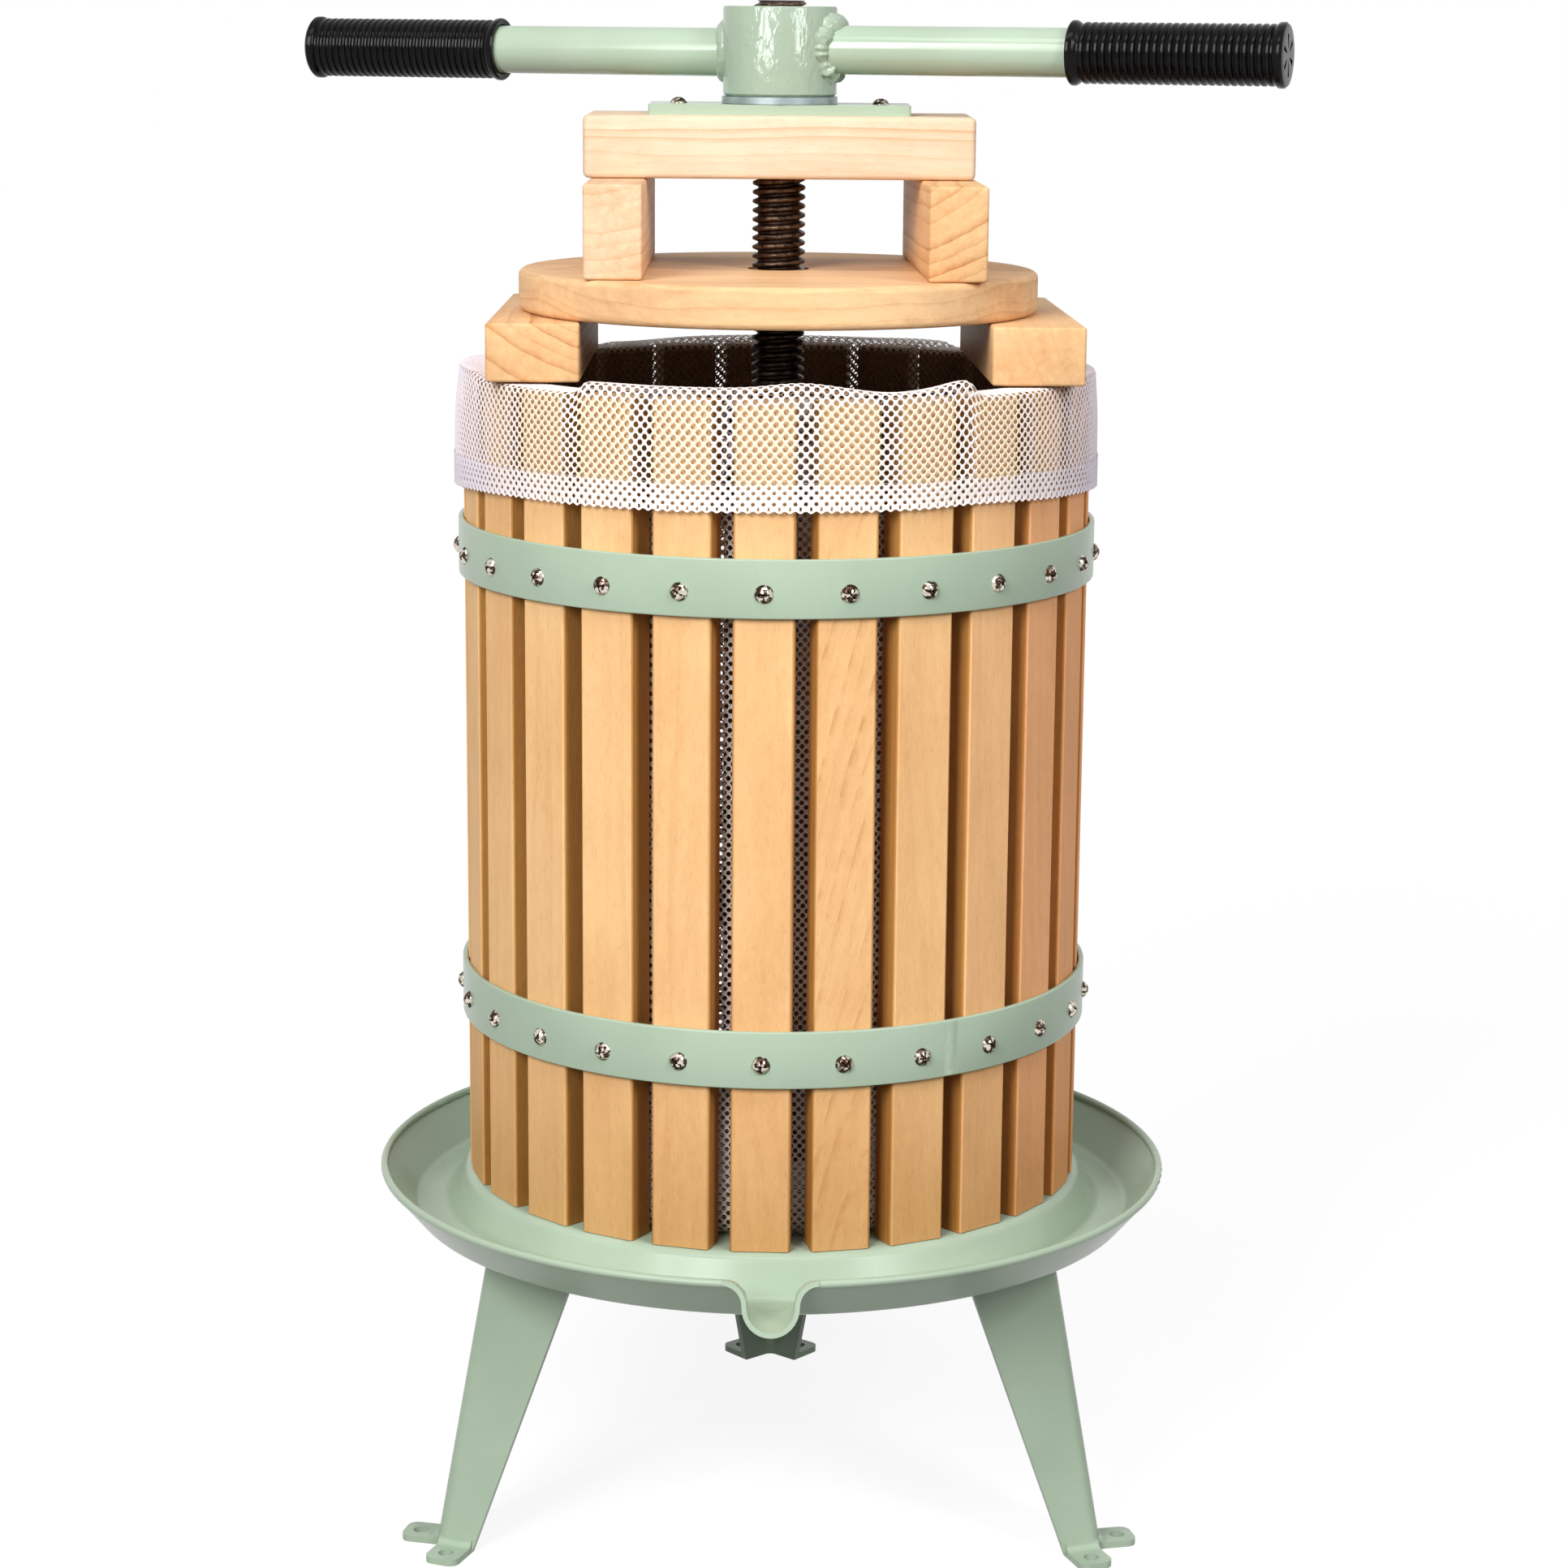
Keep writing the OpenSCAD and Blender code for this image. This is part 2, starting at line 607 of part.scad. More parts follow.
tray();
leg(leg_angles[0]);  // leg_left
leg(leg_angles[1]);  // leg_right
leg(leg_angles[2]);  // leg_back
spindle();
base_washer();
base_nut();
for (k = [1:slat_count]) slat(k);
hoop(lower_hoop_rise);  // hoop_lower
hoop(upper_hoop_rise);  // hoop_upper
hoop_screws(lower_hoop_rise);  // hoop_screws_lower
hoop_screws(upper_hoop_rise);  // hoop_screws_upper
straining_bag();
lower_block(-1);  // lower_block_left
lower_block(1);  // lower_block_right
press_disc(-1);  // press_disc_front
press_disc(1);  // press_disc_back
upper_block(-1);  // upper_block_left
upper_block(1);  // upper_block_right
top_beam();
beam_plate();
beam_plate_screws();
thrust_washer();
hub_nut();
handle_tube(-1);  // handle_tube_left
handle_tube(1);  // handle_tube_right
grip(-1);  // grip_left
grip(1);  // grip_right
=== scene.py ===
# %% [markdown]
# A fruit press is a mix of very different surfaces: stove enamel on sheet steel, planed beech and sawn pine,
# a rolled screw, plated screw heads, a knitted net and moulded grips.
# The frame holds every piece at its real size. This script gives each piece its finish, and models the forms
# that the frame leaves out, such as the thread of the screw and the meshes of the net.

# %% Load the frame
import json
import math

import bmesh
import bpy
import numpy as np
from mathutils import Matrix, Vector, noise


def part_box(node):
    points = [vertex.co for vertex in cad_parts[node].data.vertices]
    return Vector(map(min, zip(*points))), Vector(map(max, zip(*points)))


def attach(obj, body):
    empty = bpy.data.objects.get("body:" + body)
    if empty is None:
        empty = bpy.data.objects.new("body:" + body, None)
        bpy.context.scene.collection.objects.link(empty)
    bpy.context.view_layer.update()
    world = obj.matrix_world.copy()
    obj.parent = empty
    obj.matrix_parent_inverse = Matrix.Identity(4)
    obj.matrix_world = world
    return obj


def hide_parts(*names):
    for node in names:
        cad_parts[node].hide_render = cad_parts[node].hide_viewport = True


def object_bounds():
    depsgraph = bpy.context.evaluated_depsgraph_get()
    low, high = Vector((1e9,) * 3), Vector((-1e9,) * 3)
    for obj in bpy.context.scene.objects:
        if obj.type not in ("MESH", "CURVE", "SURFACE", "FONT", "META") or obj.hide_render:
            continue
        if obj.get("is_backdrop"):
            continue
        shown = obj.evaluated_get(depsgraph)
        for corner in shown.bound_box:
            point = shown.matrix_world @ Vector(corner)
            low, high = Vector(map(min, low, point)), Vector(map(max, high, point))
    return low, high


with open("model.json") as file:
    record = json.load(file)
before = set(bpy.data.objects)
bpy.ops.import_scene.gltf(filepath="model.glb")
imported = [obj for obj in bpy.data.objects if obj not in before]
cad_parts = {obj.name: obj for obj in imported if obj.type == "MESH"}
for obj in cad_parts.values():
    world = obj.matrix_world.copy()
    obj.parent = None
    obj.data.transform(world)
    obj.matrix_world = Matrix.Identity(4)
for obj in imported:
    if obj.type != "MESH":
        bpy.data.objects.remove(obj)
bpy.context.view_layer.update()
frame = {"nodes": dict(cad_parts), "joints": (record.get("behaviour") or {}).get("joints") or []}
nodes = frame["nodes"]
MM = 0.001

# %% [markdown]
# The photograph was taken with a long lens from a little above the basket. A camera in Blender is placed by
# its own turns: first the roll round its line of sight, then the tilt down, then the turn to the side. The
# lens is given by its focal length in pixels of the photograph, because that is what a fit measures.

# %% Camera
PHOTO_PIXELS = 1932
FOCAL_PIXELS = 4526.65
CAMERA_PLACE = (0, -1.6417, 0.6854)
camera_data = bpy.data.cameras.new("photo_camera")
camera_data.sensor_width = 36
camera_data.lens = camera_data.sensor_width * FOCAL_PIXELS / PHOTO_PIXELS
camera_data.clip_start = 0.05
camera_data.clip_end = 60
camera = bpy.data.objects.new("photo_camera", camera_data)
bpy.context.scene.collection.objects.link(camera)
tilt_down, turn_right, roll = (math.radians(turn) for turn in (11.94, 0.15, 0.46))
camera.matrix_world = (
    Matrix.Translation(CAMERA_PLACE)
    @ Matrix.Rotation(-turn_right, 4, "Z")
    @ Matrix.Rotation(math.pi / 2 - tilt_down, 4, "X")
    @ Matrix.Rotation(roll, 4, "Z")
)
bpy.context.scene.camera = camera
bpy.context.scene.view_settings.view_transform = "Standard"
print(f"lens {camera_data.lens:.1f} mm")

# %% [markdown]
# Shader graphs are quicker to read as sums than as boxes and wires. The class Value wraps one socket and
# overloads the arithmetic signs, so that an expression adds its own Math nodes. The class Finish is a
# material in the making: one method adds any other node, and another closes the graph with the shader.


# %% Shader maths
class Value:
    """The output of a node, which is added, multiplied and compared like a number."""

    def __init__(self, finish, socket):
        self.finish = finish
        self.socket = socket

    def maths(self, operation, first, second=0.0):
        return self.finish.node("ShaderNodeMath", {"operation": operation}, {0: first, 1: second})

    def __add__(self, other):
        return self.maths("ADD", self, other)

    def __radd__(self, other):
        return self.maths("ADD", other, self)

    def __sub__(self, other):
        return self.maths("SUBTRACT", self, other)

    def __rsub__(self, other):
        return self.maths("SUBTRACT", other, self)

    def __mul__(self, other):
        return self.maths("MULTIPLY", self, other)

    def __rmul__(self, other):
        return self.maths("MULTIPLY", other, self)

    def __truediv__(self, other):
        return self.maths("DIVIDE", self, other)

    def __pow__(self, other):
        return self.maths("POWER", self, other)

    def __abs__(self):
        return self.maths("ABSOLUTE", self)


class Finish:
    """A material or world in the making."""

    def __init__(self, name, made=None):
        self.material = made or bpy.data.materials.new(name)
        self.material.use_nodes = True
        self.tree = self.material.node_tree
        self.tree.nodes.clear()

    def node(self, kind, settings=None, sockets=None, output=0):
        """Adds a node and gives back one of its outputs. A socket takes a plain value or a link."""
        made = self.tree.nodes.new(kind)
        for name, value in (settings or {}).items():
            setattr(made, name, value)
        for name, value in (sockets or {}).items():
            if isinstance(value, Value):
                self.tree.links.new(value.socket, made.inputs[name])
            else:
                made.inputs[name].default_value = value
        return Value(self, made.outputs[output])

    def place(self):
        """The point on the piece in metres, in the frame of the whole press."""
        return self.node("ShaderNodeTexCoord", output=3)

    def parts(self, vector):
        """The X, Y and Z of a vector."""
        split = self.node("ShaderNodeSeparateXYZ", sockets={0: vector}).socket.node
        return [Value(self, socket) for socket in split.outputs]

    def vector(self, x, y, z):
        return self.node("ShaderNodeCombineXYZ", sockets={0: x, 1: y, 2: z})

    def noise(self, vector, size, detail=2.0, roughness=0.5, stretch=(1, 1, 1)):
        """A noise from 0 to 1 whose features are about size metres wide, and longer along a small stretch."""
        scaled = self.node("ShaderNodeMapping", sockets={"Vector": vector, "Scale": stretch})
        return self.node("ShaderNodeTexNoise", sockets={
            "Vector": scaled, "Scale": 1 / size, "Detail": detail, "Roughness": roughness})

    def between(self, value, low, high, to_low=0.0, to_high=1.0):
        """A value that rises smoothly from to_low to to_high while the given one goes from low to high."""
        return self.node("ShaderNodeMapRange", {"interpolation_type": "SMOOTHSTEP"}, {
            "Value": value, "From Min": low, "From Max": high, "To Min": to_low, "To Max": to_high})

    def mix(self, mask, first, second, how="MIX"):
        """The first colour where the mask is 0, the second where it is 1."""
        return self.node("ShaderNodeMix", {"data_type": "RGBA", "blend_type": how},
                         {0: mask, 6: first, 7: second}, output=2)

    def close(self, colour, roughness, bump=None, bump_height=0.1 * MM, **constants):
        """Ends the graph in a Principled BSDF. The constants are its other sockets, such as Metallic."""
        sockets = {"Base Color": colour, "Roughness": roughness}
        sockets.update({name.replace("_", " "): value for name, value in constants.items()})
        if bump is not None:
            sockets["Normal"] = self.node("ShaderNodeBump", sockets={"Height": bump, "Distance": bump_height})
        shader = self.node("ShaderNodeBsdfPrincipled", sockets=sockets)
        return self.end(shader)

    def end(self, shader, kind="ShaderNodeOutputMaterial"):
        """Joins a shader to the graph's output."""
        self.tree.links.new(shader.socket, self.tree.nodes.new(kind).inputs["Surface"])
        return self.material


def tone(red, green, blue):
    """A colour as it is read off a screen, from 0 to 255, as the linear colour that a shader needs."""
    parts = [part / 255 for part in (red, green, blue)]
    linear = [part / 12.92 if part < 0.04045 else ((part + 0.055) / 1.055) ** 2.4 for part in parts]
    return (*linear, 1.0)


print("one class for values, one for finishes")

# %% [markdown]
# The press stands on a white floor in a white room. A room that is white to the eye would light the press
# far too much, so floor and room are white only to rays from the camera and in reflections, and dimmer to
# the light that falls on the press. The floor stays a real surface: a part of its white is lit, so it keeps
# a soft shadow.

# %% Floor and world
AMBIENT = 0.12
FLOOR_GREY = 0.25
FLOOR_GREY_SEEN = 0.22
# The floor's own glow at two distances from the screw, in metres. Near the press the lamps add more.
NEAR, GLOW_NEAR = 0.3, 0.88
FAR, GLOW_FAR = 3.0, 0.98
FLOOR_REACH = 12


def seen_directly(finish):
    """1 for rays from the camera, in reflections and through glass, and 0 for light on the press."""
    path = finish.node("ShaderNodeLightPath").socket.node
    seen = [Value(finish, path.outputs[n]) for n in ("Is Camera Ray", "Is Glossy Ray", "Is Transmission Ray")]
    return seen[0].maths("MINIMUM", seen[0] + seen[1] + seen[2], 1.0)


def white_floor():
    """Grey to the press, white to the eye: what the lamps leave short of white, a glow adds."""
    finish = Finish("white_floor")
    seen = seen_directly(finish)
    x, y = finish.parts(finish.place())[:2]
    grey = FLOOR_GREY - seen * (FLOOR_GREY - FLOOR_GREY_SEEN)
    lit = finish.node("ShaderNodeBsdfDiffuse", sockets={"Color": finish.vector(grey, grey, grey)})
    short = finish.between((x * x + y * y) ** 0.5, NEAR, FAR, GLOW_NEAR, GLOW_FAR)
    glow = finish.node("ShaderNodeEmission", sockets={"Color": (1, 1, 1, 1), "Strength": seen * short})
    return finish.end(finish.node("ShaderNodeAddShader", sockets={0: lit, 1: glow}))


floor_mesh = bmesh.new()
bmesh.ops.create_grid(floor_mesh, x_segments=1, y_segments=1, size=FLOOR_REACH)
floor_data = bpy.data.meshes.new("floor")
floor_mesh.to_mesh(floor_data)
floor_mesh.free()
floor = bpy.data.objects.new("floor", floor_data)
bpy.context.scene.collection.objects.link(floor)
floor_data.materials.append(white_floor())
floor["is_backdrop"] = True

world = bpy.data.worlds.new("white_room")
bpy.context.scene.world = world
room = Finish("white_room", world)
strength = AMBIENT + seen_directly(room) * (1 - AMBIENT)
room.end(room.node("ShaderNodeBackground", sockets={"Color": (1, 1, 1, 1), "Strength": strength}),
         "ShaderNodeOutputWorld")
print(f"floor and world, ambient light {AMBIENT}")

# %% [markdown]
# The photograph's light comes from large soft boxes: two tall ones in front on the left, which draw the
# white stripes along the tubes and down the nut, one on the right that fills the shadows and a long one
# above. Area lamps do the same, and their size sets how soft the shadows are.

# %% Lamps
AIM = Vector((0, 0, 0.42))


def soft_box(name, azimuth, elevation, distance, size, watts):
    """A lamp that looks at the basket. The azimuth is counted in degrees from the front to the right."""
    data = bpy.data.lights.new(name, "AREA")
    data.shape = "RECTANGLE"
    data.size, data.size_y = size
    data.energy = watts
    lamp = bpy.data.objects.new(name, data)
    bpy.context.scene.collection.objects.link(lamp)
    sideways = math.radians(azimuth)
    upwards = math.radians(elevation)
    level = math.cos(upwards)
    towards = Vector((math.sin(sideways) * level, -math.cos(sideways) * level, math.sin(upwards)))
    lamp.location = AIM + distance * towards
    lamp.rotation_euler = towards.to_track_quat("Z", "Y").to_euler()


soft_box("key_left", azimuth=-24, elevation=28, distance=2.4, size=(0.6, 1.2), watts=34)
soft_box("strip_left", azimuth=-40, elevation=28, distance=2.4, size=(0.25, 1.1), watts=17)
soft_box("fill_right", azimuth=40, elevation=28, distance=2.4, size=(0.6, 1.0), watts=25)
soft_box("strip_above", azimuth=0, elevation=66, distance=1.9, size=(1.8, 0.5), watts=12)
print("four soft boxes")

# %% [markdown]
# Every new piece goes through the same three steps: it becomes an object at the origin with its place in its
# mesh, it rides on a body of the frame, and it takes its finish. Edges sharper than a limit are marked, so
# that round surfaces shade smoothly and corners stay crisp.


# %% Helper that finishes a piece
def piece(name, mesh, finish, body, replaces=(), sharp_angle=35):
    """Turns a bmesh into an object of the press."""
    for edge in mesh.edges:
        edge.smooth = len(edge.link_faces) != 2 or edge.calc_face_angle(0) < math.radians(sharp_angle)
    for face in mesh.faces:
        face.smooth = True
    data = bpy.data.meshes.new(name)
    mesh.to_mesh(data)
    mesh.free()
    made = bpy.data.objects.new(name, data)
    bpy.context.scene.collection.objects.link(made)
    data.materials.append(finish)
    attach(made, body)
    if replaces:
        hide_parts(*replaces)
    triangles = sum(len(p.vertices) - 2 for p in data.polygons)
    print(f"{name}: {triangles} triangles on {body}")
    return made


def turned(profile, steps=64, closed=False):
    """A piece turned on a lathe from points of radius and height, round the Z axis."""
    mesh = bmesh.new()
    corners = [mesh.verts.new((radius, 0, height)) for radius, height in profile]
    ends = corners[1:] + corners[:1] if closed else corners[1:]
    edges = [mesh.edges.new(pair) for pair in zip(corners, ends)]
    bmesh.ops.spin(mesh, geom=corners + edges, cent=(0, 0, 0), axis=(0, 0, 1), angle=2 * math.pi,
                   steps=steps, use_merge=True)
    bmesh.ops.remove_doubles(mesh, verts=mesh.verts, dist=0.001 * MM)
    bmesh.ops.recalc_face_normals(mesh, faces=mesh.faces)
    return mesh


def only_vertices(geometry):
    """The vertices among what an operator gives back."""
    return [part for part in geometry if isinstance(part, bmesh.types.BMVert)]


def dress(finish, *names):
    """Gives CAD nodes a finish."""
    for name in names:
        for material_slot in nodes[name].material_slots:
            material_slot.material = finish
    print(f"{finish.name} on {len(names)} nodes")


def middle(name):
    """The middle of a CAD node's box, its lowest and its highest corner."""
    low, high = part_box(name)
    return (low + high) / 2, low, high


print("helpers for pieces, turned forms and finishes")

# %% [markdown]
# The tray, legs, hoops, plate, nut and handle tubes are steel with a sage green stove enamel. It is smooth,
# so lamps draw sharp stripes on it, but reflects little else. Its skin has a very fine orange peel, and its
# colour a slow cloud of tone and small specks. On the nut and its welds it lies on lumpy metal, and its
# colour is darkened there as painted shade.


# %% Sage enamel
def sage_enamel(name, gloss, lumps=0.0, shade=1.0):
    """The gloss is the enamel's sheen, and a shade below 1 darkens its colour as painted shade. The lumps are
    how deep the metal under it is dented, in metres."""
    finish = Finish(name)
    place = finish.place()
    cloud = finish.noise(place, 60 * MM, detail=3)
    speck = finish.between(finish.noise(place, 1.4 * MM, detail=1), 0.72, 0.80)
    peel = finish.noise(place, 2.2 * MM, detail=2) * (0.012 * MM)
    dents = finish.between(finish.noise(place, 5 * MM, detail=3, stretch=(1, 1, 0.5)), 0.35, 0.6) * lumps
    colour = finish.mix(finish.between(cloud, 0.3, 0.7), tone(164, 182, 160), tone(172, 190, 168))
    colour = finish.mix(speck * 0.2, colour, tone(146, 164, 142))
    # A shade below 1 darkens the colour as painted shade.
    colour = finish.mix(1.0, colour, (shade, shade, shade, 1), how="MULTIPLY")
    rough = finish.between(cloud, 0.3, 0.7, 0.36 - gloss * 0.6, 0.42 - gloss * 0.6)
    return finish.close(colour, rough, bump=(peel + dents) / MM, bump_height=MM, Specular_IOR_Level=gloss)


enamel = sage_enamel("sage_enamel", gloss=0.22)
bright_enamel = sage_enamel("sage_enamel_on_tube", gloss=0.4)
# The nut and its welds take a darker copy of the enamel: painted shade.
cast_enamel = sage_enamel("sage_enamel_on_casting", gloss=0.4, lumps=0.16 * MM, shade=0.87)
dress(enamel, "tray", "leg_left", "leg_right", "leg_back", "beam_plate")
dress(bright_enamel, "handle_tube_left", "handle_tube_right")

# %% [markdown]
# Wood is a solid texture: growth rings are cylinders round the heart of the tree, and a board is cut
# anywhere out of them. The same rings then show as lines along a face and as arcs on the end grain, without
# any effort to match them at the edges. No two years are alike, so each ring has its own strength. Long
# thin noise adds fibres, short thin noise the dark flecks of the pores, and a broader one the mottle of a
# sawn face.


# %% Wood
def wood(finish, along, heart, ring_width, light, dark, rings, fibres, mottle):
    """Colour and height of wood whose grain runs along Z of the vector along. The heart is the X and Y of the
    tree's middle. Rings, fibres and mottle say how strongly each of them darkens the wood."""
    x, y = finish.parts(along)[:2]
    wander = finish.noise(along, 55 * MM, detail=2, stretch=(1, 1, 0.35))
    fine_wander = finish.noise(along, 10 * MM, detail=2, stretch=(1, 1, 0.15))
    across = x - heart[0] + (wander - 0.5) * (14 * MM)
    deep = y - heart[1] + (fine_wander - 0.5) * (2.4 * MM)
    age = (across * across + deep * deep) ** 0.5 / ring_width
    year = age.maths("FLOOR", age)
    own = finish.node("ShaderNodeTexWhiteNoise", {"noise_dimensions": "1D"}, {"W": year})
    late = (age - year) ** 3.0 * finish.between(age - year, 1.0, 0.93) * own
    fibre = finish.noise(along, 0.9 * MM, detail=3, stretch=(1, 1, 0.06))
    streak = finish.noise(along, 5 * MM, detail=2, stretch=(1, 1, 0.06))
    patch = finish.noise(along, 2.6 * MM, detail=3, roughness=0.6, stretch=(1, 1, 0.4))
    pores = finish.between(finish.noise(along, 0.55 * MM, detail=1, stretch=(1, 1, 0.14)), 0.64, 0.72)
    cloud = finish.noise(along, 40 * MM, detail=3, stretch=(1, 1, 0.45))
    amount = (streak - 0.5) * fibres + (fibre - 0.5) * (0.5 * fibres) + (patch - 0.5) * mottle \
        + (cloud - 0.5) * 0.8 + late * rings + pores * 0.12
    return finish.mix(amount + 0.2, light, dark), fibre * 0.5 + patch - pores * 0.5


def board(name, grain_turn, heart, ring_width, light, dark, rings, fibres, mottle=0.3):
    """The finish of one board. grain_turn turns the press's frame so that the grain runs along Z."""
    finish = Finish(name)
    along = finish.node("ShaderNodeMapping", sockets={
        "Vector": finish.place(), "Rotation": tuple(math.radians(turn) for turn in grain_turn)})
    colour, height = wood(finish, along, heart, ring_width, light, dark, rings, fibres, mottle)
    return finish.close(colour, 0.5, bump=height, bump_height=0.1 * MM, Specular_IOR_Level=0.06)


PALE_WOOD = tone(237, 195, 145)
PALE_GRAIN = tone(190, 128, 76)
ALONG_X = (0, 90, 0)
ALONG_Y = (90, 0, 0)
print("wood grain as a solid texture")

# %% [markdown]
# The slats are planed from different boards, so no two look alike. One material serves them all: the angle
# round the screw says which slat a point is on, the point is turned back to the front, and the number of
# the slat shifts and tilts the grain and tints the wood. One slat was cut across the grain and shows
# slanting lines. The narrow sides and the backs are painted darker and browner, as painted shade in the
# gaps between the slats and inside the basket.

# %% Slats
slat_names = sorted(name for name in nodes if name.startswith("slat_"))
slat_pitch = 2 * math.pi / len(slat_names)
first_slat = middle(slat_names[0])[0]
first_angle = math.atan2(first_slat.x, -first_slat.y)
slat_low, slat_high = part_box(slat_names[0])
# A slat that is turned to the front: half its width, its thickness, and Y of its middle, face and back.
SLAT_HALF_WIDTH = 13 * MM
SLAT_THICKNESS = 15 * MM
slat_middle_y = -first_slat.xy.length
slat_face_y = slat_middle_y - SLAT_THICKNESS / 2
slat_back_y = slat_middle_y + SLAT_THICKNESS / 2
SLAT_HEART = (0, -165 * MM)
SLANTING_SLAT = 1.0
SIDE_AND_BACK_SHADE = (0.58, 0.46, 0.26, 1)
FOOT_SHADE = (0.79, 0.74, 0.65, 1)
CUFF_DEPTH = 47.6 * MM
cuff_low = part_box("straining_bag")[1].z - CUFF_DEPTH


def on_nearest_slat(finish):
    """The number of the nearest slat, and the point's X, Y and Z when that slat is turned to the front."""
    x, y = finish.parts(finish.place())[:2]
    angle = finish.node("ShaderNodeMath", {"operation": "ARCTAN2"}, {0: x, 1: 0 - y})
    number = (angle - first_angle) / slat_pitch
    number = number.maths("FLOORED_MODULO", number.maths("ROUND", number), float(len(slat_names)))
    turned_back = finish.node("ShaderNodeVectorRotate", {"rotation_type": "Z_AXIS"}, {
        "Vector": finish.place(), "Angle": 0 - (number * slat_pitch + first_angle)})
    return [number, *finish.parts(turned_back)]


def random_value(finish, number, lot):
    """A random value from 0 to 1 for each number. The lot makes independent ones."""
    spot = number + (lot * 40 + 0.5)
    return finish.node("ShaderNodeTexWhiteNoise", {"noise_dimensions": "1D"}, {"W": spot})


def slat_wood():
    finish = Finish("slat_beech")
    number, slat_x, slat_y, slat_z = on_nearest_slat(finish)
    shift, tint, lean, blush = (random_value(finish, number, lot) for lot in range(4))
    slanting = number.maths("COMPARE", number, SLANTING_SLAT)
    turn = (lean - 0.5) * 0.1 + slanting * 0.16
    # Every slat comes from another place in the tree, and its grain leans a little.
    grain_x = slat_x + (shift - 0.5) * (50 * MM) - slat_z * turn
    grain_y = slat_y + (slat_z * (shift - 0.5)) * 0.14
    along = finish.vector(grain_x, grain_y, slat_z + number * 0.43)
    # The slats from the fourth to the eighth, on the right, are redder.
    on_right = finish.between(number, 2.6, 3.6) * finish.between(number, 7.5, 6.5)
    light = finish.mix(tint, tone(246, 202, 147), tone(243, 196, 140))
    light = finish.mix(on_right, light, finish.mix(blush, tone(254, 191, 141), tone(255, 184, 130)))
    dark = finish.mix(tint, tone(206, 146, 86), tone(198, 134, 80))
    # The slanting lines are broken into dashes.
    broken = finish.between(finish.noise(finish.place(), 12 * MM, detail=2), 0.44, 0.6)
    rings = slanting * broken * 0.55 + 0.14
    colour, height = wood(finish, along, SLAT_HEART, 4.2 * MM, light, dark, rings, fibres=0.26, mottle=0.32)
    # Under the net the wood is painted paler and duller, as painted light that comes through the net, and
    # towards the foot it is darker.
    light_through_net = finish.between(slat_z, cuff_low, cuff_low + 4 * MM)
    colour = finish.mix(light_through_net * 0.6, colour, tone(222, 200, 166))
    foot = finish.between(slat_z, slat_low.z + 110 * MM, slat_low.z)
    colour = finish.mix(foot, colour, FOOT_SHADE, how="MULTIPLY")
    # The narrow sides and the backs are painted darker: painted shade in the gaps and inside the basket.
    side_and_back_shade = finish.between(abs(slat_x), SLAT_HALF_WIDTH - 0.8 * MM, SLAT_HALF_WIDTH - 0.3 * MM)
    at_back = finish.between(slat_y, slat_back_y - 2.5 * MM, slat_back_y - 0.5 * MM)
    side_and_back_shade = side_and_back_shade.maths("MAXIMUM", side_and_back_shade, at_back)
    colour = finish.mix(side_and_back_shade, colour, SIDE_AND_BACK_SHADE, how="MULTIPLY")
    return finish.close(colour, 0.5, bump=height, bump_height=0.12 * MM, Specular_IOR_Level=0.06)


dress(slat_wood(), *slat_names)
print(f"{len(slat_names)} slats, the first {math.degrees(first_angle):.1f} degrees from the front")

# %% [markdown]
# The blocks are short lengths of sawn stock whose edges were only broken, and their end grain faces the
# front. A cube is stretched to the size of the block, turned the way it lies, and all its edges are
# bevelled. A block that lies askew has too wide a box: its size comes from the left block of the pair,
# which lies square, and its turn from the axis of the joint along which it slides.


# %% Pressing blocks
BLOCK_EDGE = 1.3 * MM


def sawn_block(name, finish):
    """A block in place of a CAD node."""
    body = name.replace("lower_", "low_").replace("upper_", "high_")
    axis = next(joint for joint in frame["joints"] if joint["name"] == body + "_slide")["axis"]
    turn = math.atan2(-axis[0], axis[1])
    centre = middle(name)[0]
    low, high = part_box(name.replace("right", "left"))
    mesh = bmesh.new()
    bmesh.ops.create_cube(mesh, size=1, matrix=Matrix.Translation(centre) @ Matrix.Rotation(turn, 4, "Z")
                          @ Matrix.Diagonal((*(high - low), 1)))
    bmesh.ops.bevel(mesh, geom=mesh.edges[:], offset=BLOCK_EDGE, segments=3, profile=0.5, affect="EDGES",
                    material=-1)
    piece("sawn_" + name, mesh, finish, body, replaces=[name])


for name, heart, light, rings in (
        ("lower_block_left", (-60 * MM, -628 * MM), PALE_WOOD, 0.75),
        ("lower_block_right", (190 * MM, -568 * MM), PALE_WOOD, 0.15),
        ("upper_block_left", (-80 * MM, -668 * MM), tone(240, 207, 172), 0.4),
        ("upper_block_right", (40 * MM, -658 * MM), PALE_WOOD, 0.85)):
    sawn_pine = board("pine_" + name, ALONG_Y, heart, ring_width=5.5 * MM, light=light, dark=PALE_GRAIN,
                      rings=rings, fibres=0.5, mottle=0.45)
    sawn_block(name, sawn_pine)

# %% [markdown]
# The top beam is one board with a bore for the screw. A flat grid has a vertex in its middle: bevelling that
# vertex alone opens a round hole, the sheet is extruded to the height of the beam, and its outer edges are
# rounded.


# %% Top beam
BEAM_BORE = 13 * MM
BEAM_EDGE = 2.5 * MM


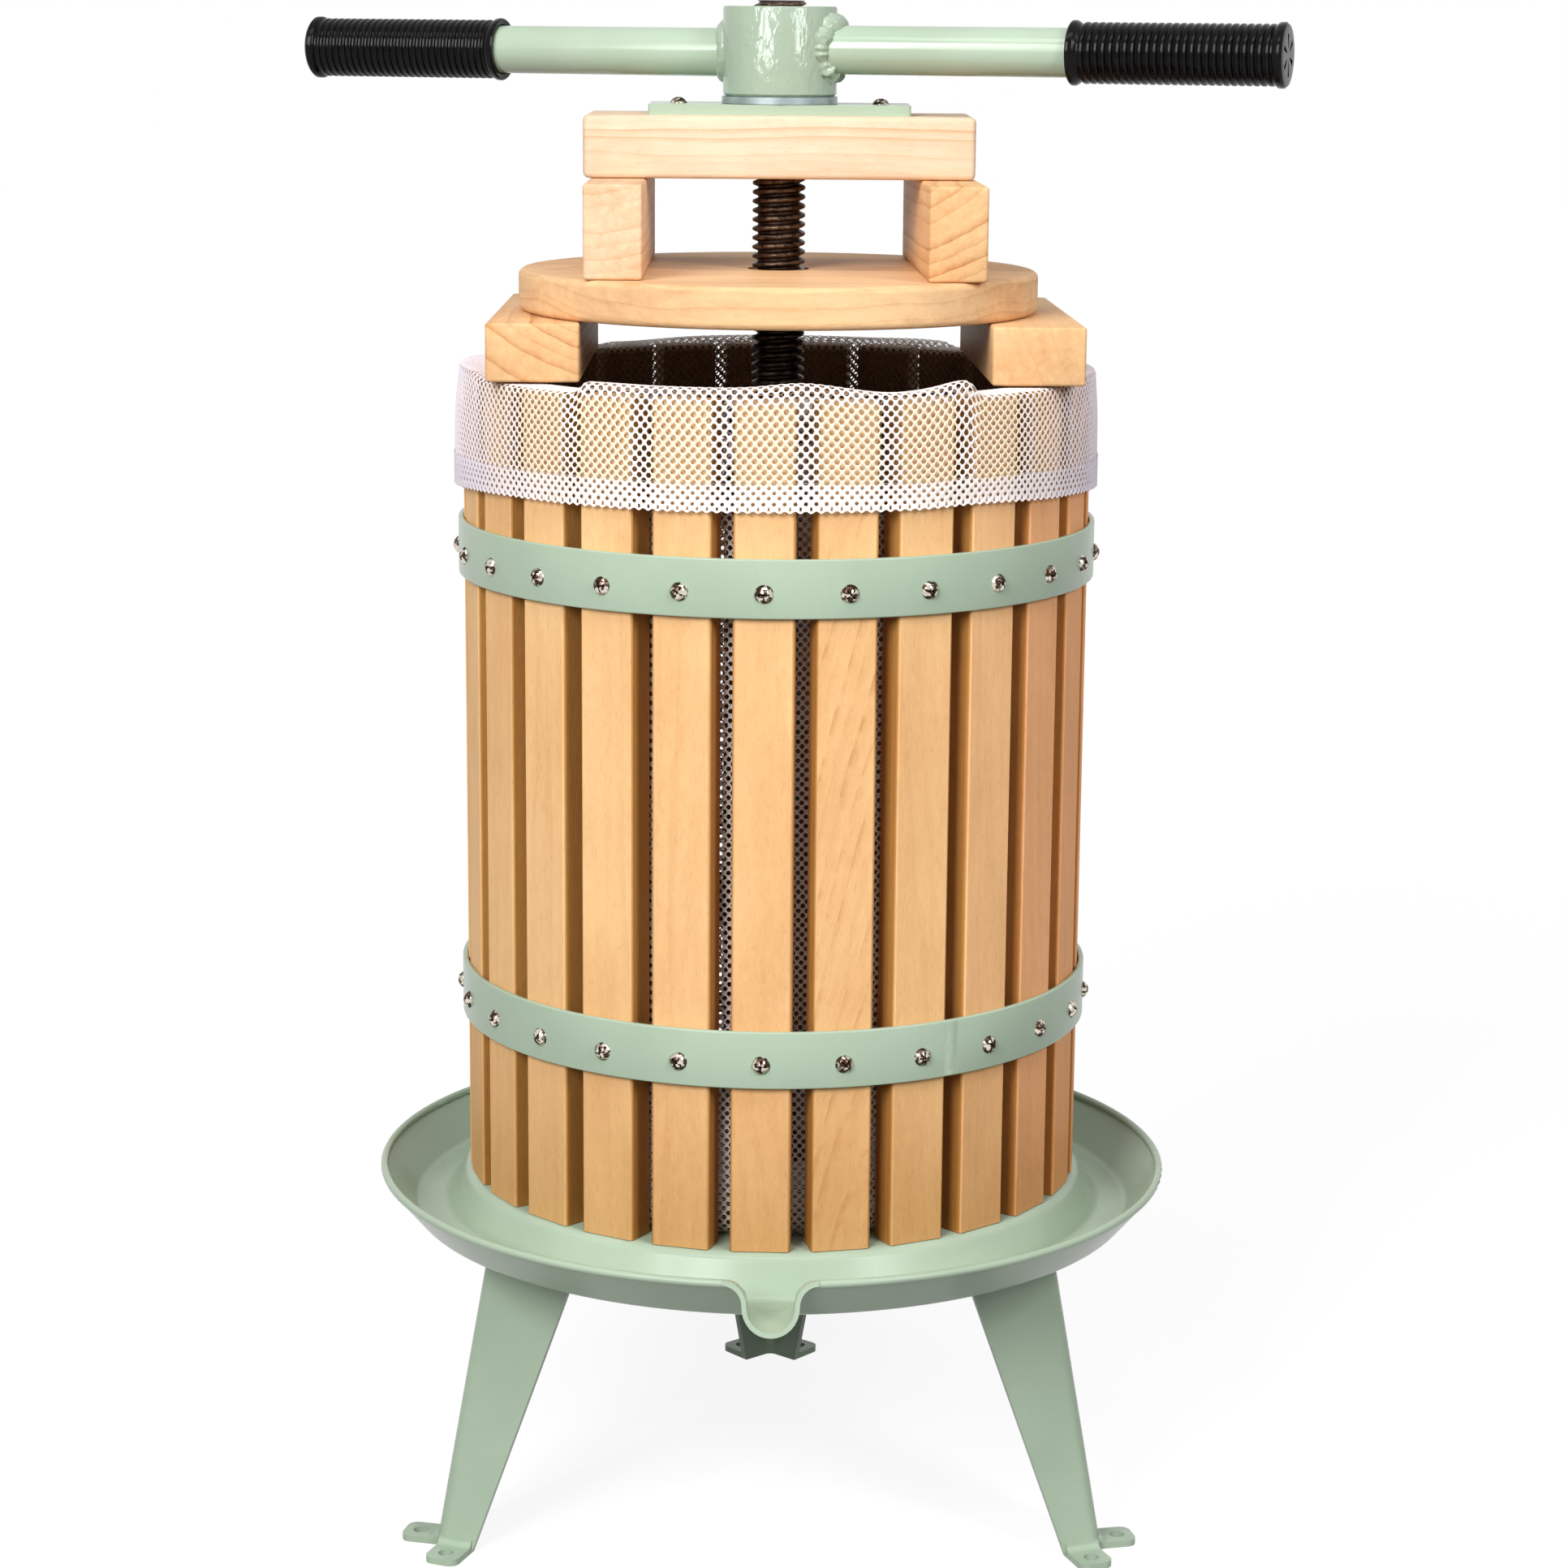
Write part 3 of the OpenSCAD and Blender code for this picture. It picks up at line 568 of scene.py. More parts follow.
def bored_board(node, bore, edge_radius):
    """A board with the size and place of a CAD node, bored in the middle. The bore is its radius."""
    centre, low, high = middle(node)
    mesh = bmesh.new()
    bmesh.ops.create_grid(mesh, x_segments=2, y_segments=2, size=0.5)
    bmesh.ops.scale(mesh, vec=(high.x - low.x, high.y - low.y, 1), verts=mesh.verts)
    heart = min(mesh.verts, key=lambda v: v.co.length)
    opened = bmesh.ops.bevel(mesh, geom=[heart], offset=bore, segments=12, profile=0.5, affect="VERTICES",
                             material=-1)
    for vertex in opened["verts"]:
        vertex.co = vertex.co.normalized() * bore
    bmesh.ops.delete(mesh, geom=[f for f in mesh.faces if f.calc_center_median().length < bore / 2],
                     context="FACES_ONLY")
    top = bmesh.ops.extrude_face_region(mesh, geom=mesh.faces[:])["geom"]
    bmesh.ops.translate(mesh, vec=(0, 0, high.z - low.z), verts=only_vertices(top))
    bmesh.ops.recalc_face_normals(mesh, faces=mesh.faces)
    outer = [edge for edge in mesh.edges
             if edge.calc_face_angle(0) > 1 and min(v.co.xy.length for v in edge.verts) > bore * 1.2]
    bmesh.ops.bevel(mesh, geom=outer, offset=edge_radius, segments=4, profile=0.5, affect="EDGES",
                    material=-1)
    bmesh.ops.translate(mesh, vec=(centre.x, centre.y, low.z), verts=mesh.verts)
    return mesh


beam_pine = board("beam_pine", ALONG_X, heart=(-568 * MM, 35 * MM), ring_width=3.4 * MM,
                  light=tone(233, 211, 185), dark=tone(200, 150, 104), rings=0.6, fibres=0.5)
piece("rounded_beam", bored_board("top_beam", BEAM_BORE, BEAM_EDGE), beam_pine, "beam",
      replaces=["top_beam"])

# %% [markdown]
# The press disc is two half moons, so that it can be laid round the screw. The frame already holds their
# shape, so they only take a finish. The grain runs on from one half to the other, as on halves sawn out of
# one board.

# %% Press disc
disc_wood = board("disc_wood", ALONG_X, heart=(-508 * MM, 20 * MM), ring_width=3.6 * MM,
                  light=tone(240, 199, 151), dark=tone(194, 136, 88), rings=0.5, fibres=0.6)
dress(disc_wood, "press_disc_front", "press_disc_back")

# %% [markdown]
# The hoops are flat bar, rolled to a ring and welded. Their edges are slightly rounded, which is what draws
# the pale line along the top. A rounded rectangle spun round the axis makes one hoop.


# %% Hoops
def rounded_corners(width, height, radius, steps=3):
    """The corners of a rounded rectangle round its middle, anticlockwise."""
    points = []
    for corner in range(4):
        turn = corner * math.pi / 2
        sign_x = 1 if corner in (0, 3) else -1
        sign_y = 1 if corner in (0, 1) else -1
        for step in range(steps + 1):
            angle = turn + math.pi / 2 * step / steps
            points.append((sign_x * (width / 2 - radius) + radius * math.cos(angle),
                           sign_y * (height / 2 - radius) + radius * math.sin(angle)))
    return points


HOOP_THICKNESS = 2.5 * MM
HOOP_EDGE = 0.7 * MM
for name in ("hoop_lower", "hoop_upper"):
    centre, low, high = middle(name)
    bar = [(high.x - HOOP_THICKNESS / 2 + x, centre.z + z)
           for x, z in rounded_corners(HOOP_THICKNESS, high.z - low.z, HOOP_EDGE)]
    piece("rolled_" + name, turned(bar, steps=192, closed=True), enamel, "basket",
          replaces=[name])

# %% [markdown]
# Where the ends of the lower hoop are welded together, a ground bead still shows under the paint as a low
# ridge. A small grid is bent on to the hoop and swells along its middle.

# %% Butt weld
BEAD_ANGLE = math.radians(32.6)
BEAD_WIDTH = 7 * MM
BEAD_SWELL = 0.35 * MM


def ground_bead(hoop):
    """The bead across a hoop, between its rounded edges."""
    centre, low, high = middle(hoop)
    mesh = bmesh.new()
    bmesh.ops.create_grid(mesh, x_segments=14, y_segments=40, size=0.5)
    for vertex in mesh.verts:
        x, y = vertex.co.x, vertex.co.y
        lumps = 1 + 0.5 * noise.noise(Vector((x * 3, y * 9, 0)))
        out = high.x + BEAD_SWELL * lumps * math.cos(math.pi * x) ** 2 - 0.01 * MM
        at = BEAD_ANGLE + x * BEAD_WIDTH / high.x
        height = centre.z + y * (high.z - low.z - 2 * HOOP_EDGE)
        vertex.co = (out * math.sin(at), -out * math.cos(at), height)
    return mesh


piece("hoop_weld", ground_bead("hoop_lower"), enamel, "basket")

# %% [markdown]
# A hoop screw has a plated dome with a cross recess. One head is turned from a profile, the faces under the
# cross are pushed in, and the finished head is repeated round the hoop.


# %% Hoop screws
def plated():
    """Bright plating with light and dark patches of painted reflection, and a recess painted dark brown as
    painted shade, which an attribute of the mesh marks.
    """
    finish = Finish("nickel_plate")
    place = finish.place()
    reflection_patches = finish.noise(place, 2.5 * MM, detail=3)
    recess = finish.node("ShaderNodeAttribute", {"attribute_name": "recess"}, output=2)
    # The patches are painted reflection, and the dark brown in the recess is painted shade.
    colour = finish.mix(finish.between(reflection_patches, 0.44, 0.54), tone(214, 205, 190), tone(66, 50, 40))
    colour = finish.mix(recess, colour, tone(44, 28, 20))
    rough = finish.between(reflection_patches, 0.3, 0.7, 0.10, 0.20) + recess * 0.4
    return finish.close(colour, rough, bump=reflection_patches, bump_height=0.02 * MM, Metallic=1.0)


HEAD_RADIUS = 4 * MM
HEAD_HEIGHT = 2.6 * MM
# The cross recess, in shares of the head's radius and in degrees.
CROSS_MIDDLE = 0.14
CROSS_REACH = 0.58
HALF_ARM = 12
# Each head is turned on by this angle in degrees, so that no two crosses stand alike.
NEXT_HEAD_TURN = 137.5


def screw_head(radius, height):
    """A domed head on the XY plane whose cross recess is pushed in along Z."""
    # The radius of the ball that the dome is a part of.
    dome = (height * height + radius * radius) / (2 * height)
    rings = [0, 0.14, 0.3, 0.45, 0.6, 0.75, 0.88, 0.96, 1.0]
    profile = [(radius * r, math.sqrt(dome * dome - (radius * r) ** 2) - dome + height) for r in rings]
    mesh = turned(profile + [(radius, -0.2 * MM)], steps=32)
    recess = mesh.verts.layers.float.new("recess")
    arms = []
    for face in mesh.faces:
        spot = face.calc_center_median()
        arm = math.degrees(math.atan2(spot.y, spot.x)) % 90
        reach = spot.xy.length / radius
        if reach < CROSS_MIDDLE or (reach < CROSS_REACH and (arm < HALF_ARM or arm > 90 - HALF_ARM)):
            arms.append(face)
    sunk = bmesh.ops.extrude_face_region(mesh, geom=arms)["geom"]
    bmesh.ops.delete(mesh, geom=arms, context="FACES_ONLY")
    for vertex in only_vertices(sunk):
        vertex.co.z -= height * (0.8 - 0.4 * vertex.co.xy.length / radius)
        vertex[recess] = 1
    bmesh.ops.recalc_face_normals(mesh, faces=mesh.faces)
    return mesh


def repeated(pattern, places):
    """Copies of one mesh, each moved by a matrix."""
    data = bpy.data.meshes.new("pattern")
    pattern.to_mesh(data)
    pattern.free()
    mesh = bmesh.new()
    for matrix in places:
        before = len(mesh.verts)
        mesh.from_mesh(data)
        mesh.verts.ensure_lookup_table()
        bmesh.ops.transform(mesh, matrix=matrix, verts=mesh.verts[before:])
    bpy.data.meshes.remove(data)
    return mesh


nickel = plated()
for level in ("lower", "upper"):
    name = "hoop_screws_" + level
    hoop_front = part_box("hoop_" + level)[0].y
    height = middle(name)[0].z
    heads = []
    for number in range(len(slat_names)):
        angle = first_angle + number * slat_pitch
        own_turn = math.radians(number * NEXT_HEAD_TURN)
        heads.append(Matrix.Rotation(angle, 4, "Z") @ Matrix.Translation((0, hoop_front, height))
                     @ Matrix.Rotation(math.pi / 2, 4, "X") @ Matrix.Rotation(own_turn, 4, "Z"))
    mesh = repeated(screw_head(HEAD_RADIUS, HEAD_HEIGHT), heads)
    piece("domed_" + name, mesh, nickel, "basket", replaces=[name])

PLATE_SCREW_TURN = 0.4
plate_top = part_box("beam_plate")[1].z
from_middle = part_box("beam_plate_screws")[1].x - HEAD_RADIUS
heads = [Matrix.Translation((side * from_middle, 0, plate_top))
         @ Matrix.Rotation(side * PLATE_SCREW_TURN, 4, "Z") for side in (-1, 1)]
piece("domed_plate_screws", repeated(screw_head(HEAD_RADIUS, HEAD_HEIGHT), heads), nickel, "beam",
      replaces=["beam_plate_screws"])

# %% [markdown]
# The screw is what the press is about. Its thread is rolled, with round crests and narrow roots, 4 mm from
# one turn to the next. A profile one pitch high is spun round the axis while it rises: after each full turn
# it meets its own start, and merging the doubles closes the helix. The crests are painted brighter in
# patches, as a painted highlight.

# %% Screw
PITCH = 4 * MM
CREST = 11.75 * MM
ROOT = 9.3 * MM
END_CHAMFER = 1.6 * MM
STUB_RADIUS = 10 * MM
COLLAR_HEIGHT = 10 * MM
COLLAR_EDGE = 1 * MM


def dark_steel():
    finish = Finish("dark_steel")
    place = finish.place()
    x, y = finish.parts(place)[:2]
    across = (x * x + y * y) ** 0.5
    crest = finish.between(across, CREST - 1.75 * MM, CREST - 0.15 * MM)
    mottle = finish.noise(place, 3 * MM, detail=4, roughness=0.65)
    grain = finish.noise(place, 0.5 * MM, detail=2)
    # Brighter patches on the crests are a painted highlight.
    crest_highlight = crest * finish.between(mottle, 0.35, 0.65)
    colour = finish.mix(finish.between(mottle, 0.3, 0.7), tone(34, 23, 18), tone(62, 46, 37))
    colour = finish.mix(crest_highlight * 0.6, colour, tone(122, 102, 84))
    return finish.close(colour, finish.between(mottle, 0.3, 0.7, 0.3, 0.5), bump=grain + mottle,
                        bump_height=0.08 * MM, Metallic=0.85)


def rolled_thread(start, end):
    """A solid thread round the Z axis between two heights, with a chamfer at its upper end."""
    steps = 24
    mesh = bmesh.new()
    shape = [(0.0, 0.0), (0.10, 0.0), (0.22, 0.55), (0.34, 0.93), (0.5, 1.0), (0.66, 0.93), (0.78, 0.55),
             (0.90, 0.0), (1.0, 0.0)]
    corners = [mesh.verts.new((ROOT + (CREST - ROOT) * rise, 0, start + along * PITCH))
               for along, rise in shape]
    edges = [mesh.edges.new(pair) for pair in zip(corners, corners[1:])]
    turns = math.ceil((end - start) / PITCH)
    bmesh.ops.spin(mesh, geom=corners + edges, cent=(0, 0, 0), axis=(0, 0, 1), dvec=(0, 0, PITCH / steps),
                   angle=2 * math.pi * turns, steps=steps * turns, use_merge=False)
    bmesh.ops.remove_doubles(mesh, verts=mesh.verts, dist=0.01 * MM)
    whole = mesh.verts[:] + mesh.edges[:] + mesh.faces[:]
    bmesh.ops.bisect_plane(mesh, geom=whole, dist=1e-7, plane_co=(0, 0, end), plane_no=(0, 0, 1),
                           clear_outer=True)
    rim = [e for e in mesh.edges if e.is_boundary and min(v.co.z for v in e.verts) > end - 0.01 * MM]
    bmesh.ops.contextual_create(mesh, geom=rim)
    for vertex in mesh.verts:
        limit = CREST - max(0.0, vertex.co.z - (end - END_CHAMFER))
        if vertex.co.xy.length > limit:
            vertex.co.xy *= limit / vertex.co.xy.length
    bmesh.ops.recalc_face_normals(mesh, faces=mesh.faces)
    return mesh


steel = dark_steel()
stub_end, screw_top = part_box("spindle")
collar_r = screw_top.x
# The collar stands half a millimetre deep in the platform, which lies 1.5 mm below the rim of the tray.
collar_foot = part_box("tray")[1].z - 2 * MM
collar_top = collar_foot + COLLAR_HEIGHT
collar = [(0, stub_end.z), (STUB_RADIUS - COLLAR_EDGE, stub_end.z), (STUB_RADIUS, stub_end.z + COLLAR_EDGE),
          (STUB_RADIUS, collar_foot), (collar_r, collar_foot), (collar_r, collar_top - COLLAR_EDGE),
          (collar_r - COLLAR_EDGE, collar_top), (0, collar_top)]
piece("threaded_screw", rolled_thread(collar_top - PITCH / 2, screw_top.z), steel, "base",
      replaces=["spindle"], sharp_angle=60)
piece("screw_collar", turned(collar, steps=48), steel, "base", replaces=["spindle"])

# %% [markdown]
# Washers and the base nut are zinc plated. Plating is a cool grey with a faint cloud, and turned faces carry
# fine rings.


# %% Zinc
def zinc_plate():
    finish = Finish("zinc_plate")
    place = finish.place()
    x, y = finish.parts(place)[:2]
    rings = finish.node("ShaderNodeTexNoise", {"noise_dimensions": "1D"}, {
        "W": (x * x + y * y) ** 0.5, "Scale": 1 / (0.5 * MM), "Detail": 2})
    cloud = finish.noise(place, 9 * MM, detail=3)
    colour = finish.mix(finish.between(cloud, 0.3, 0.7), tone(172, 184, 182), tone(142, 154, 156))
    return finish.close(colour, finish.between(cloud, 0.3, 0.7, 0.3, 0.42), bump=rings, bump_height=0.02 * MM,
                        Metallic=0.9)


zinc = zinc_plate()
dress(zinc, "thrust_washer", "base_washer", "base_nut")

# %% [markdown]
# The round nut of the handle is turned steel under the enamel, with broken edges. The tubes are welded to it
# by hand: a neat fillet on the left, a thick lumpy one on the right.

# %% Handle nut
NUT_EDGE = 1 * MM
hub_low, hub_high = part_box("hub_nut")
hub_r = hub_high.x
bore_r = CREST + 0.1 * MM
nut = [(bore_r, hub_low.z + NUT_EDGE), (bore_r + NUT_EDGE, hub_low.z), (hub_r - NUT_EDGE, hub_low.z),
       (hub_r, hub_low.z + NUT_EDGE), (hub_r, hub_high.z - NUT_EDGE), (hub_r - NUT_EDGE / 2, hub_high.z),
       (bore_r + NUT_EDGE, hub_high.z), (bore_r, hub_high.z - NUT_EDGE)]
piece("turned_nut", turned(nut, steps=96, closed=True), cast_enamel, "handle",
      replaces=["hub_nut"])

# %% [markdown]
# A weld bead is a ring round the foot of the tube. It starts as a ring on the lathe, is bent down to the
# saddle where tube and nut meet, and noise makes it lumpy.

# %% Weld beads
# The left side is -1, the right side 1.
grip_middles = {-1: middle("grip_left")[0], 1: middle("grip_right")[0]}
handle_turn = math.atan2(grip_middles[1].y, grip_middles[1].x)
tube_low, tube_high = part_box("handle_tube_left")
tube_r = (tube_high.z - tube_low.z) / 2


def along_handle(side):
    """Turns a piece that is made along Z so that it lies on the handle's axis, away from the nut."""
    return (Matrix.Translation((0, 0, grip_middles[side].z)) @ Matrix.Rotation(handle_turn, 4, "Z")
            @ Matrix.Rotation(side * math.pi / 2, 4, "Y"))


def weld_bead(side, width, lift, lump):
    """A fillet round the foot of a tube. Lift makes it thicker on top, lump makes it uneven."""
    section = rounded_corners(2 * width, 2 * width, width * 0.999, steps=7)
    mesh = turned([(tube_r + x, z) for x, z in section], steps=120, closed=True)
    for vertex in mesh.verts:
        spot = vertex.co
        angle = math.atan2(spot.y, spot.x)
        up = -math.cos(angle) * side
        across = (tube_r + 0.2 * width) * math.sin(angle)
        # The side takes each bead to another part of the noise.
        lumps = noise.noise(Vector((math.cos(angle) * 5, math.sin(angle) * 5, side * 5.0))) * lump
        ripples = noise.noise(spot / (1.8 * MM) + Vector((0, 0, side * 9.0))) * (0.1 * MM + 0.7 * MM * lump)
        radial = spot.xy.length - tube_r
        grow = 1 + lift * max(0.0, up) + lumps
        out = Vector((spot.x, spot.y)).normalized() * (tube_r + radial * grow + ripples)
        saddle = math.sqrt(hub_r * hub_r - across * across)
        vertex.co = (out.x, out.y, saddle + spot.z * grow + ripples)
    bmesh.ops.transform(mesh, matrix=along_handle(side), verts=mesh.verts)
    bmesh.ops.recalc_face_normals(mesh, faces=mesh.faces)
    return mesh


left_bead = weld_bead(-1, width=3.0 * MM, lift=0.2, lump=0.15)
right_bead = weld_bead(1, width=3.3 * MM, lift=0.6, lump=0.6)
piece("weld_left", left_bead, cast_enamel, "handle")
piece("weld_right", right_bead, cast_enamel, "handle")

# %% [markdown]
# The grips are moulded sleeves with a rib every 3.2 mm, a flange at both ends and a closed outer end with a
# shallow star. The profile is worked out rib by rib and turned on the handle's axis.


# %% Grips
def black_moulding():
    finish = Finish("black_moulding")
    place = finish.place()
    dust = finish.noise(place, 4 * MM, detail=3)
    grain = finish.noise(place, 0.35 * MM, detail=2)
    colour = finish.mix(finish.between(dust, 0.4, 0.75), tone(8, 6, 7), tone(16, 14, 15))
    return finish.close(colour, finish.between(dust, 0.3, 0.7, 0.13, 0.2), bump=grain, bump_height=0.01 * MM,
                        Specular_IOR_Level=0.11)


GRIP_LENGTH = 93.5 * MM
GRIP_CREST = 13 * MM
GRIP_ROOT = 12.1 * MM
FLANGE = 13.75 * MM
GRIP_RIBS = 26
PLAIN_END = 5 * MM
# The star's arms start every 60 degrees and are 15 degrees wide.
STAR_STEP = 60
STAR_ARM = 15
STAR_DEPTH = 0.7 * MM
handle_end = grip_middles[1].xy.length + GRIP_LENGTH / 2


def ribbed_grip(side):
    """A grip on one side of the handle. Its profile runs from the open end outside to the closed end."""
    pitch = (GRIP_LENGTH - 2 * PLAIN_END) / GRIP_RIBS
    inner_r = tube_r + 0.05 * MM
    profile = [(inner_r, 6 * MM), (inner_r, 1.2 * MM), (inner_r + 0.6 * MM, 0.2 * MM), (FLANGE - 0.5 * MM, 0),
               (FLANGE, 0.6 * MM), (FLANGE, 2.2 * MM), (FLANGE - 0.6 * MM, 3.2 * MM),
               (GRIP_ROOT + 0.2 * MM, 4.4 * MM)]
    one_rib = [(0.0, 0.0), (0.2, 0.15), (0.34, 0.9), (0.48, 1.0), (0.66, 1.0), (0.8, 0.9), (0.94, 0.15)]
    for rib in range(GRIP_RIBS):
        foot = PLAIN_END + rib * pitch
        for along, rise in one_rib:
            profile.append((GRIP_ROOT + (GRIP_CREST - GRIP_ROOT) * rise, foot + along * pitch))
    end = GRIP_LENGTH
    profile += [(GRIP_ROOT + 0.2 * MM, end - 4.6 * MM), (FLANGE - 0.5 * MM, end - 4 * MM),
                (FLANGE, end - 3.2 * MM), (FLANGE, end - 1.2 * MM), (FLANGE - 0.9 * MM, end - 0.2 * MM),
                (FLANGE - 2 * MM, end), (9 * MM, end), (3 * MM, end), (0, end)]
    mesh = turned(profile, steps=48)
    star = []
    for face in mesh.faces:
        spot = face.calc_center_median()
        if spot.z > end - 0.05 * MM and 2 * MM < spot.xy.length < 9 * MM:
            if math.degrees(math.atan2(spot.y, spot.x)) % STAR_STEP < STAR_ARM:
                star.append(face)
    sunk = bmesh.ops.extrude_face_region(mesh, geom=star)["geom"]
    bmesh.ops.delete(mesh, geom=star, context="FACES_ONLY")
    bmesh.ops.translate(mesh, vec=(0, 0, -STAR_DEPTH), verts=only_vertices(sunk))
    bmesh.ops.recalc_face_normals(mesh, faces=mesh.faces)
    to_place = along_handle(side) @ Matrix.Translation((0, 0, handle_end - GRIP_LENGTH))
    bmesh.ops.transform(mesh, matrix=to_place, verts=mesh.verts)
    return mesh


moulding = black_moulding()
piece("ribbed_grip_left", ribbed_grip(-1), moulding, "handle", replaces=["grip_left"])
piece("ribbed_grip_right", ribbed_grip(1), moulding, "handle", replaces=["grip_right"])

# %% [markdown]
# The straining bag is an open knitted net. It could be a sheet with a see-through pattern, but the strands
# catch light and the holes show the slats behind, so it is real mesh. A grid of narrow cells becomes
# six-sided ones when every second cross edge is dissolved and the corners are shifted. An inset parts each
# cell into a ring of strand and a hole, the hole is drawn together to its real size and deleted.

# %% Net
COLUMN = 2.11 * MM
ROW = 4.1 * MM
STRAND_EDGE = 0.3 * MM
STRAND_RELIEF = 0.35 * MM
# A corner between cells is shifted by this share of a column, and a scallop by this share of a half row.
CORNER_SHIFT = 0.3
SCALLOP_SHIFT = 0.6


def flat_net(columns, half_rows, hole, skip_rows=0, scalloped=False):
    """A flat net with a column along X and a row along Y. Z holds the roundness of the strands.

    The hole is given by its width and height. A scalloped net ends in whole cells at its first row."""
    mesh = bmesh.new()
    bmesh.ops.create_grid(mesh, x_segments=columns, y_segments=half_rows, size=0.5)
    spots = {}
    for vertex in mesh.verts:
        i = round((vertex.co.x + 0.5) * columns)
        j = round((vertex.co.y + 0.5) * half_rows) + skip_rows
        spots[vertex] = (i, j)
    crossing = []
    for edge in mesh.edges:
        (i0, j0), (i1, j1) = (spots[v] for v in edge.verts)
        if j0 == j1 and (min(i0, i1) + j0) % 2 == 1 and len(edge.link_faces) == 2:
            crossing.append(edge)
    bmesh.ops.dissolve_edges(mesh, edges=crossing, use_verts=False)
    if scalloped:
        halves = [f for f in mesh.faces if len(f.verts) == 4 and max(spots[v][1] for v in f.verts) == 1]
        bmesh.ops.delete(mesh, geom=halves, context="FACES")
    for vertex in mesh.verts:
        i, j = spots[vertex]
        side = 1 if (i + j) % 2 == 0 else -1
        sunk = SCALLOP_SHIFT if scalloped and j == 1 else 0
        vertex.co = ((i + side * CORNER_SHIFT) * COLUMN, (j - sunk) * ROW / 2, 0)
    cells = mesh.faces[:]
    hole_width, hole_height = hole
    bmesh.ops.inset_individual(mesh, faces=cells, thickness=STRAND_EDGE, depth=-STRAND_RELIEF,
                               use_even_offset=True)
    for cell in cells:
        if len(cell.verts) < 6:
            continue
        centre = cell.calc_center_median()
        for vertex in cell.verts:
            across, up = vertex.co.x - centre.x, vertex.co.y - centre.y
            beside = abs(up) < ROW / 8
            vertex.co.x = centre.x + math.copysign(hole_width / (2 if beside else 4), across)
            vertex.co.y = centre.y + (0 if beside else math.copysign(hole_height / 2, up))
    bmesh.ops.delete(mesh, geom=cells, context="FACES_ONLY")
    return mesh


def net_piece(name, flat, bend, size, replaces=()):
    strands = sum(face.calc_area() for face in flat.faces)
    made = piece(name, flat, net, "basket", replaces=replaces, sharp_angle=80)
    places = np.zeros(len(made.data.vertices) * 3)
    made.data.vertices.foreach_get("co", places)
    places = places.reshape(-1, 3)
    made.data.vertices.foreach_set("co", bend(places[:, 0], places[:, 1], places[:, 2]).ravel())
    made.data.update()
    width, length = size
    print(f"  strands cover {strands / (width * length):.2f} of a sheet of {width:.3f} x {length:.3f} m")
    return made


print(f"a net with meshes of {COLUMN / MM} by {ROW / MM} mm")

# %% [markdown]
# The net is white yarn. Painted light tints it: where it lies on a slat the wood is painted shining through,
# and towards the sides it is painted cooler, as light from the room behind. Inside at the back it is painted
# darker, as painted shade of the blocks and of the disc.


# %% Yarn
INNER_SHADE = (0.35, 0.26, 0.2, 1)


def net_thread():
    finish = Finish("net_thread")
    place = finish.place()
    x, y, z = finish.parts(place)
    slat_x, slat_y, slat_z = on_nearest_slat(finish)[1:]
    yarn = finish.noise(place, 0.5 * MM, detail=2)
    cloud = finish.noise(place, 25 * MM, detail=2)
    over_wood = finish.between(abs(slat_x), SLAT_HALF_WIDTH + 0.4 * MM, SLAT_HALF_WIDTH - 0.4 * MM)
    outside = finish.between(slat_y, slat_face_y + 1.5 * MM, slat_face_y + 0.5 * MM)
    below_rim = finish.between(slat_z, slat_high.z, slat_high.z - 2 * MM)
    above_hem = finish.between(slat_z, cuff_low + 11 * MM, cuff_low + 13 * MM)
    on_slat = over_wood * outside * below_rim * above_hem
    cool = finish.between(abs(x), 100 * MM, 138 * MM)
    colour = finish.mix(finish.between(cloud, 0.3, 0.7), tone(247, 238, 235), tone(243, 231, 225))
    # Wood shining through on a slat and a cooler tint at the sides are painted light.
    colour = finish.mix(on_slat * 0.8, colour, tone(246, 226, 196))
    colour = finish.mix(cool * 0.8, colour, tone(236, 226, 238))
    inside = finish.between(slat_y, slat_middle_y, slat_middle_y + 2 * MM)
    at_back = finish.between(y, 20 * MM, 70 * MM)
    shaded = at_back * inside * finish.between(z, slat_high.z, slat_high.z - 3 * MM)
    colour = finish.mix(shaded, colour, INNER_SHADE, how="MULTIPLY")
    return finish.close(colour, 0.5, bump=yarn, bump_height=0.06 * MM, Specular_IOR_Level=0.05)


net = net_thread()
print(f"{net.name}, white outside and darker inside")

# %% [markdown]
# A flat net becomes the bag by a rule that says for each length along the bag's line where it lies: up the
# outside from the foot of the cuff, over the ends of the slats, down the inside and on to the floor. The
# rule also gives the net its slack. Humps round the bag, each with a height, a place and a width, say how
# far the fold stands up and the foot of the cuff hangs down.

# %% Line of the bag
BAG_COLUMNS = 420
ALL_ROUND = BAG_COLUMNS * COLUMN
bag_low, bag_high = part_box("straining_bag")
rim_z = bag_high.z - 0.6 * MM
outer_r = bag_high.x - 0.3 * MM
inner_r = 123.6 * MM
fold_r = 1.6 * MM
floor_z = bag_low.z + 0.6 * MM
floor_bend = 8 * MM

# The line of the bag as lengths: up outside, round the fold, across the slats, round, down inside, round.
runs = [rim_z - fold_r - cuff_low, fold_r * math.pi / 2, outer_r - inner_r - 2 * fold_r, fold_r * math.pi / 2,
        rim_z - fold_r - floor_z - floor_bend, floor_bend * math.pi / 2]
marks = np.concatenate([[0], np.cumsum(runs)])

# The lower blocks slide over the rim between two angles from the front or from the back, in degrees. The fold
# flattens out just before the first and rises again after the second.
BLOCKS_FROM, FLATTENS = 38, 4
BLOCKS_TO, RISES = 63, 9


